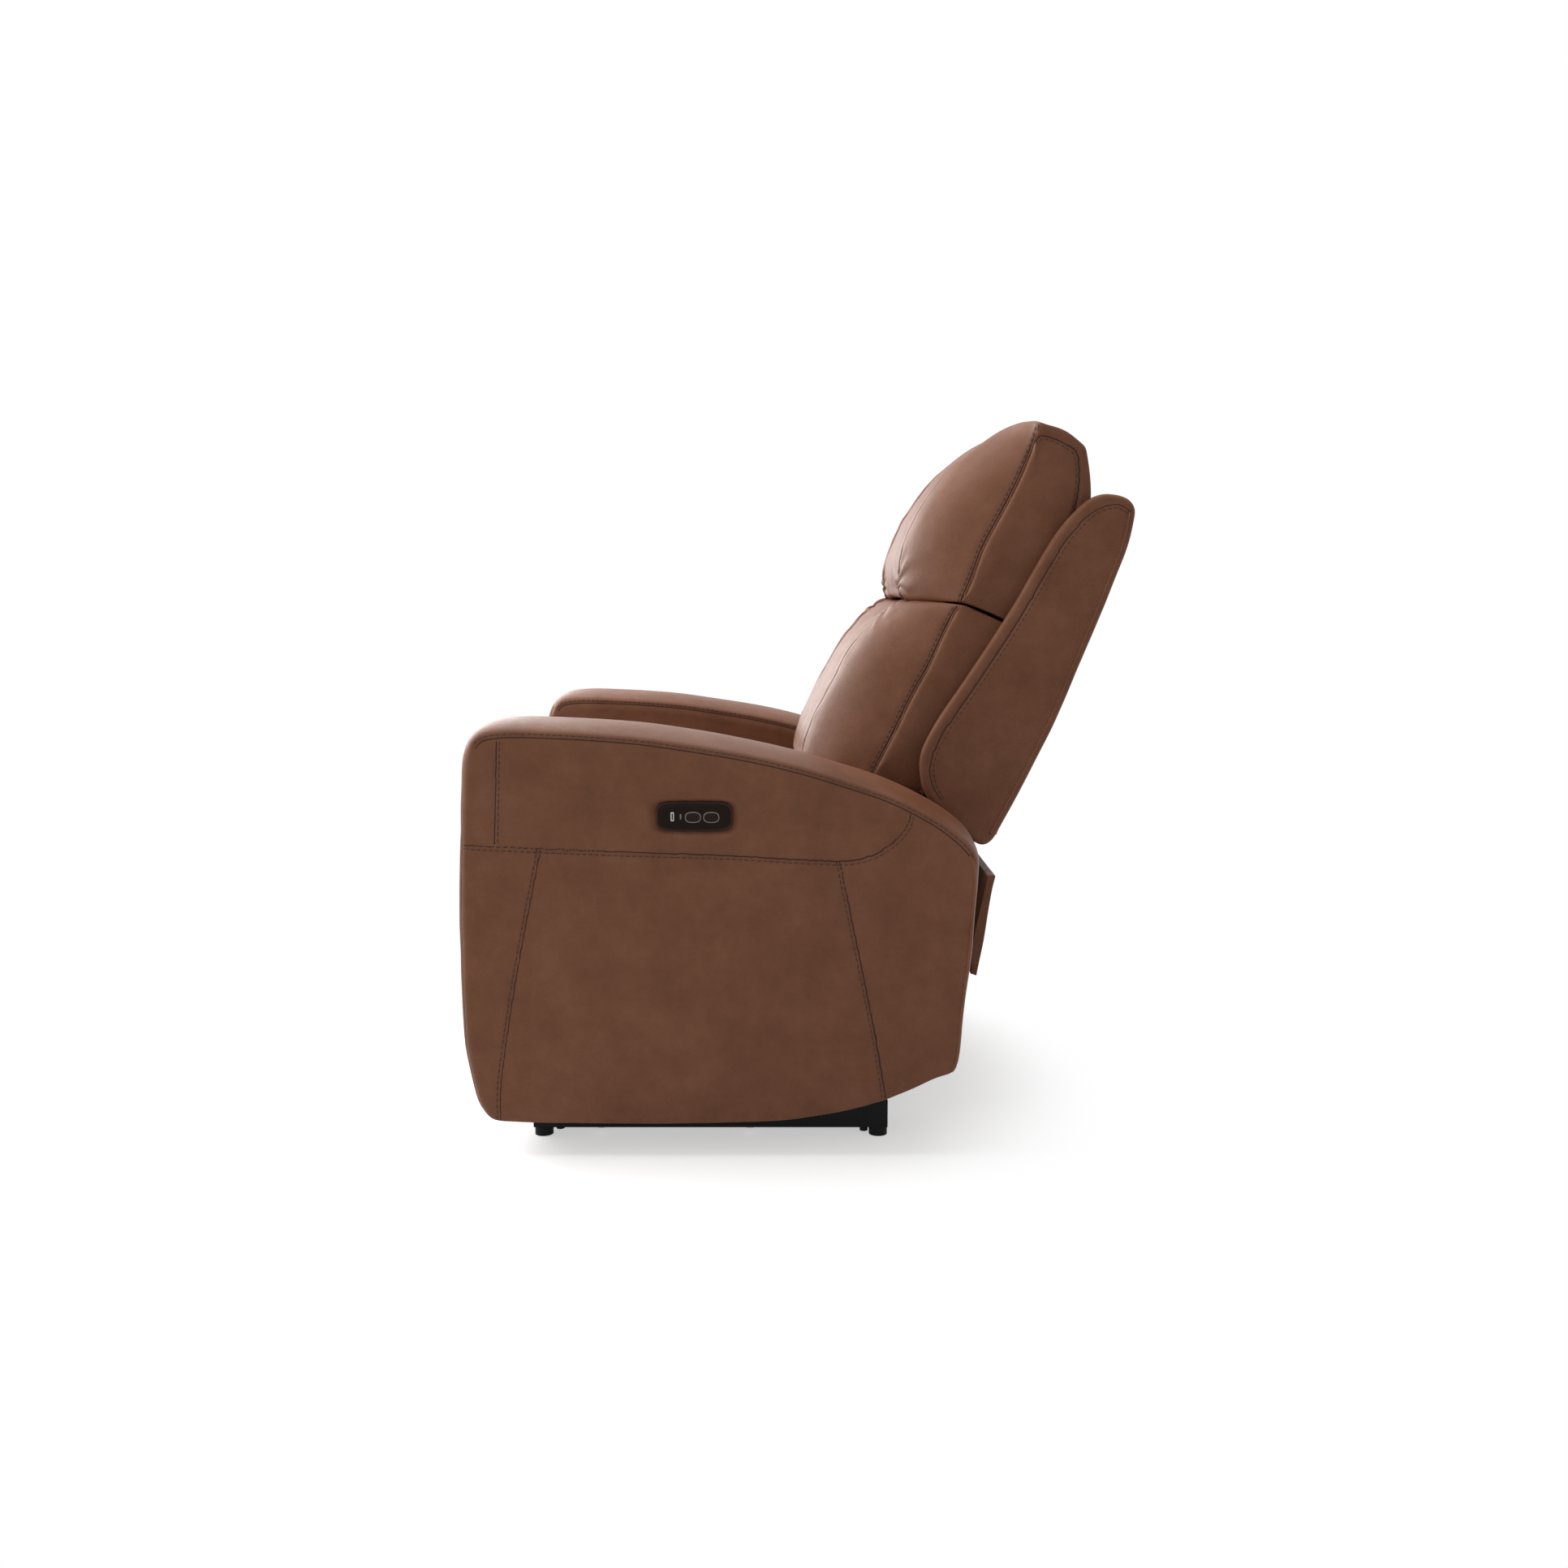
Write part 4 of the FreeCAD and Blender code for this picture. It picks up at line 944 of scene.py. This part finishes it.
# ---------------------------------------------------------------- seat and footrest
def make_level_cushion(names, body, outlines, counts, slices, cap_rings, swell, span, seam, slack, cord):
    """A cushion of three panels with two channels: names gives its piece, its channels' painted shade and its
    node.
    """
    name, shade_name, node = names
    half = box(node)[1].x - 1
    places = (-CHANNEL * half, CHANNEL * half)
    xs = spread(half, slices, places)
    rings = cushion_rings(*outlines, counts, xs, half, 5.0, swell)
    cushion = leather_piece(name, body, loft(xs, rings, cap_rings, 1.0), [node])
    channels = channel_lines(rings, xs, half, *span)
    press(cushion, [{"line": line, **seam} for line in channels], **slack)
    grooves = mesh_lines(cushion, places, xs, sum(counts), *span)
    # Dark tubes of painted shade in the channel grooves.
    channel_shade_tubes(shade_name, grooves, body, cord)


def make_seat():
    """The seat cushion, with a rolled front."""
    low, high = box("seat_cushion")
    top = high.z
    front, rear, base = low.y, high.y, low.z
    centre = (
        [(rear, top + 3), (rear - 120, top + 9), (front + 220, top + 10), (front + 60, top + 6),
         (front + 10, top - 8), (front - 10, top - 34), (front - 6, top - 64)],
        [(front - 6, top - 64), (front, base + 27)],
        [(front, base + 27), (front + 58, base + 1), (rear, base + 1)],
        [(rear, base + 1), (rear, top + 3)],
    )
    end = (
        [(rear, top - 16), (rear - 120, top - 14), (front + 220, top - 14), (front + 70, top - 15),
         (front + 26, top - 26), (front + 14, top - 48), (front + 10, top - 70)],
        [(front + 10, top - 70), (front + 10, base + 30)],
        [(front + 10, base + 30), (front + 62, base + 8), (rear, base + 8)],
        [(rear, base + 8), (rear, top - 16)],
    )
    counts = (130, 14, 90, 22)
    make_level_cushion(
        ("seat_cushion_leather", "seat_channel_shade", "seat_cushion"), "seat", (centre, end), counts,
        slices=101, cap_rings=16, swell=5.0, span=(0, counts[0] + 12), seam={"depth": 0.007, "width": 0.0065},
        slack={"wrinkle": 0.0034, "wrinkle_scale": 6.0, "seed": 31.0, "pucker": 0.0022}, cord=0.0016)


def make_footrest():
    """The footrest pad, rounded on every edge."""
    low, high = box("footrest_pad")
    middle = (low.z + high.z) / 2
    centre = (
        [(high.y - 8, low.z), (low.y + 3, low.z + 20), (low.y, middle), (low.y + 3, high.z - 20),
         (high.y - 8, high.z)],
        [(high.y - 8, high.z), (high.y, high.z - 4)],
        [(high.y, high.z - 4), (high.y, low.z + 4)],
        [(high.y, low.z + 4), (high.y - 8, low.z)],
    )
    end = (
        [(high.y - 6, low.z + 6), (low.y + 14, low.z + 22), (low.y + 14, middle), (low.y + 14, high.z - 22),
         (high.y - 6, high.z - 6)],
        [(high.y - 6, high.z - 6), (high.y, high.z - 10)],
        [(high.y, high.z - 10), (high.y, low.z + 10)],
        [(high.y, low.z + 10), (high.y - 6, low.z + 6)],
    )
    counts = (90, 4, 70, 4)
    make_level_cushion(
        ("footrest_leather", "footrest_channel_shade", "footrest_pad"), "footrest", (centre, end), counts,
        slices=91, cap_rings=5, swell=3.0, span=(2, counts[0]), seam={"depth": 0.005, "width": 0.006},
        slack={"wrinkle": 0.0024, "wrinkle_scale": 7.0, "seed": 41.0, "pucker": 0.0018}, cord=0.0015)


VALANCE_LAP = 13
ROLL_TILT = math.radians(22.4)


def make_valance():
    """The leather-covered panel that closes the space between the arms, low at the rear."""
    low, high = box("rear_valance")
    outer = [(low.y + 10, low.z), (low.y + 22, low.z + 62), (low.y + 31, low.z + 130), (high.y, high.z)]
    inner = [(high.y - 12, high.z), (low.y + 19, low.z + 128), (low.y + 1, low.z + 38),
             (low.y + 1, low.z + 3)]
    counts = (40, 6, 40, 6)
    loop = closed_loop((outer, [outer[-1], inner[0]], inner, [inner[-1], outer[0]]), counts)
    xs = spread(high.x + VALANCE_LAP, 61)
    shape = loft(xs, [loop] * len(xs), 3, 0.0)
    panel = leather_piece("rear_valance_leather", "base", shape, replaced=["rear_valance"])
    press(panel, [], wrinkle=0.0016, wrinkle_scale=7.0, seed=51.0)


def make_back_roll():
    """The leather roll that closes the back's top edge, from the outer cover to the head cushion."""
    high = box("back_outer_panel")[1]
    along = np.array([math.sin(ROLL_TILT), math.cos(ROLL_TILT)])
    inward = np.array([-math.cos(ROLL_TILT), math.sin(ROLL_TILT)])
    corner = np.array([high.y - 1.0, high.z - 6.0])
    shape = [(0, -6), (1, 4), (8, 9), (26, 11), (44, 9), (52, 3), (52, -3), (26, -1), (12, -4)]
    outline = [tuple(corner + inward * a + along * b) for a, b in shape]
    loop = soften(closed_loop((outline + [outline[0]],), (96,)), 4)
    half = high.x - 2
    roll = leather_piece("back_top_roll", "back", loft(spread(half, 61), [loop] * 61, 4, 2.0))
    press(roll, [], wrinkle=0.0014, wrinkle_scale=8.0, seed=61.0)


make_back_roll()
make_seat()
make_footrest()
make_valance()


# ---------------------------------------------------------------- stage
FLOOR_REACH = 12.0
FLOOR_DROP = 0.0005
FLOOR_GLOW = 0.50
SHADOW_CENTRE = (0.05, -0.13, 0)
SHADOW_SQUASH = (0.8, 1.2, 1)
SHADOW_FADE = (0.42, 0.76)
WORLD_LIGHT = 0.40
LIGHTS = (
    ("front_key", (-0.4, -2.6, 1.9), (0, -0.05, 0.65), 2.6, 1.8, 66),
    ("top_soft", (-0.3, -0.2, 3.0), (0, 0.0, 0.5), 2.6, 2.6, 50),
    ("far_rim", (-2.6, -1.9, 1.6), (0, -0.1, 0.7), 2.2, 1.8, 78),
    ("side_fill", (3.4, -1.2, 1.6), (0, 0, 0.5), 2.4, 2.0, 10),
)
CAMERA_PLACE = (2.52, -0.030, 0.772)
CAMERA_DIP = 6.66
CAMERA_LENS = 34.45


def emitter_light(name, place, target, width, depth, power):
    """A soft white rectangular light aimed at a point."""
    data = bpy.data.lights.new(name, "AREA")
    data.shape = "RECTANGLE"
    data.size, data.size_y = width, depth
    data.energy = power
    light = bpy.data.objects.new(name, data)
    bpy.context.scene.collection.objects.link(light)
    light.location = place
    light.rotation_euler = (Vector(target) - Vector(place)).to_track_quat("-Z", "Y").to_euler()


def backdrop_rays(nodes, links):
    """1 for the camera, glossy and transmission rays, which all see the pale background."""
    path = nodes.new("ShaderNodeLightPath")
    seen = math_node(nodes, links, "MAXIMUM", path.outputs["Is Camera Ray"], path.outputs["Is Glossy Ray"])
    return math_node(nodes, links, "MAXIMUM", seen, path.outputs["Is Transmission Ray"])


def vector_step(nodes, links, operation, source, second=None):
    """A vector math node over a socket and, where it is given, a fixed vector."""
    node = nodes.new("ShaderNodeVectorMath")
    node.operation = operation
    links.new(source, node.inputs[0])
    if second:
        node.inputs[1].default_value = second
    return node.outputs


def mixed(nodes, links, kind, *parts):
    """A shader node with each part linked to its next input."""
    node = nodes.new(kind)
    for slot, part in enumerate(parts):
        links.new(part, node.inputs[slot])
    return node.outputs[0]


def make_floor():
    """A plain pale floor that keeps the soft shadow under the chair and is white further out."""
    mesh = bpy.data.meshes.new("floor")
    corners = [(x * FLOOR_REACH, y * FLOOR_REACH, 0) for x, y in ((-1, -1), (1, -1), (1, 1), (-1, 1))]
    mesh.from_pydata(corners, [], [(0, 1, 2, 3)])
    floor = bpy.data.objects.new("floor", mesh)
    bpy.context.scene.collection.objects.link(floor)
    floor.location.z = -FLOOR_DROP
    material = bpy.data.materials.new("pale_floor")
    material.use_nodes = True
    nodes, links = material.node_tree.nodes, material.node_tree.links
    nodes.remove(nodes["Principled BSDF"])
    matte = nodes.new("ShaderNodeBsdfDiffuse")
    matte.inputs["Color"].default_value = (0.80, 0.80, 0.80, 1)
    glow = nodes.new("ShaderNodeEmission")
    glow.inputs["Strength"].default_value = FLOOR_GLOW
    white = nodes.new("ShaderNodeEmission")
    place = nodes.new("ShaderNodeTexCoord").outputs["Object"]
    offset = vector_step(nodes, links, "SUBTRACT", place, SHADOW_CENTRE)["Vector"]
    squashed = vector_step(nodes, links, "MULTIPLY", offset, SHADOW_SQUASH)["Vector"]
    distance = vector_step(nodes, links, "LENGTH", squashed)["Value"]
    fade = nodes.new("ShaderNodeMapRange")
    fade.interpolation_type = "SMOOTHSTEP"
    fade.inputs["From Min"].default_value, fade.inputs["From Max"].default_value = SHADOW_FADE
    links.new(distance, fade.inputs["Value"])
    lit = mixed(nodes, links, "ShaderNodeAddShader", matte.outputs[0], glow.outputs[0])
    shown = mixed(nodes, links, "ShaderNodeMixShader", fade.outputs["Result"], lit, white.outputs[0])
    seen = backdrop_rays(nodes, links)
    surface = mixed(nodes, links, "ShaderNodeMixShader", seen, matte.outputs[0], shown)
    links.new(surface, nodes["Material Output"].inputs["Surface"])
    mesh.materials.append(material)


def make_world():
    """White to the camera, in reflections and through glass, and a plain soft light elsewhere."""
    world = bpy.data.worlds.new("studio")
    world.use_nodes = True
    bpy.context.scene.world = world
    nodes, links = world.node_tree.nodes, world.node_tree.links
    background = nodes["Background"]
    strength = nodes.new("ShaderNodeMapRange")
    strength.inputs["To Min"].default_value = WORLD_LIGHT
    strength.inputs["To Max"].default_value = 1.0
    links.new(backdrop_rays(nodes, links), strength.inputs["Value"])
    links.new(strength.outputs["Result"], background.inputs["Strength"])
    background.inputs["Color"].default_value = (1, 1, 1, 1)


def make_camera():
    """The camera at the photograph's viewing angle, looking along -X at the sitter's left arm."""
    data = bpy.data.cameras.new("camera")
    data.lens = CAMERA_LENS
    data.sensor_width = 36.0
    camera = bpy.data.objects.new("camera", data)
    bpy.context.scene.collection.objects.link(camera)
    camera.location = CAMERA_PLACE
    camera.rotation_euler = (math.radians(90 - CAMERA_DIP), 0, math.radians(90))
    bpy.context.scene.camera = camera


make_floor()
make_world()
for light_row in LIGHTS:
    emitter_light(*light_row)
make_camera()
bpy.context.scene.view_settings.view_transform = "Standard"
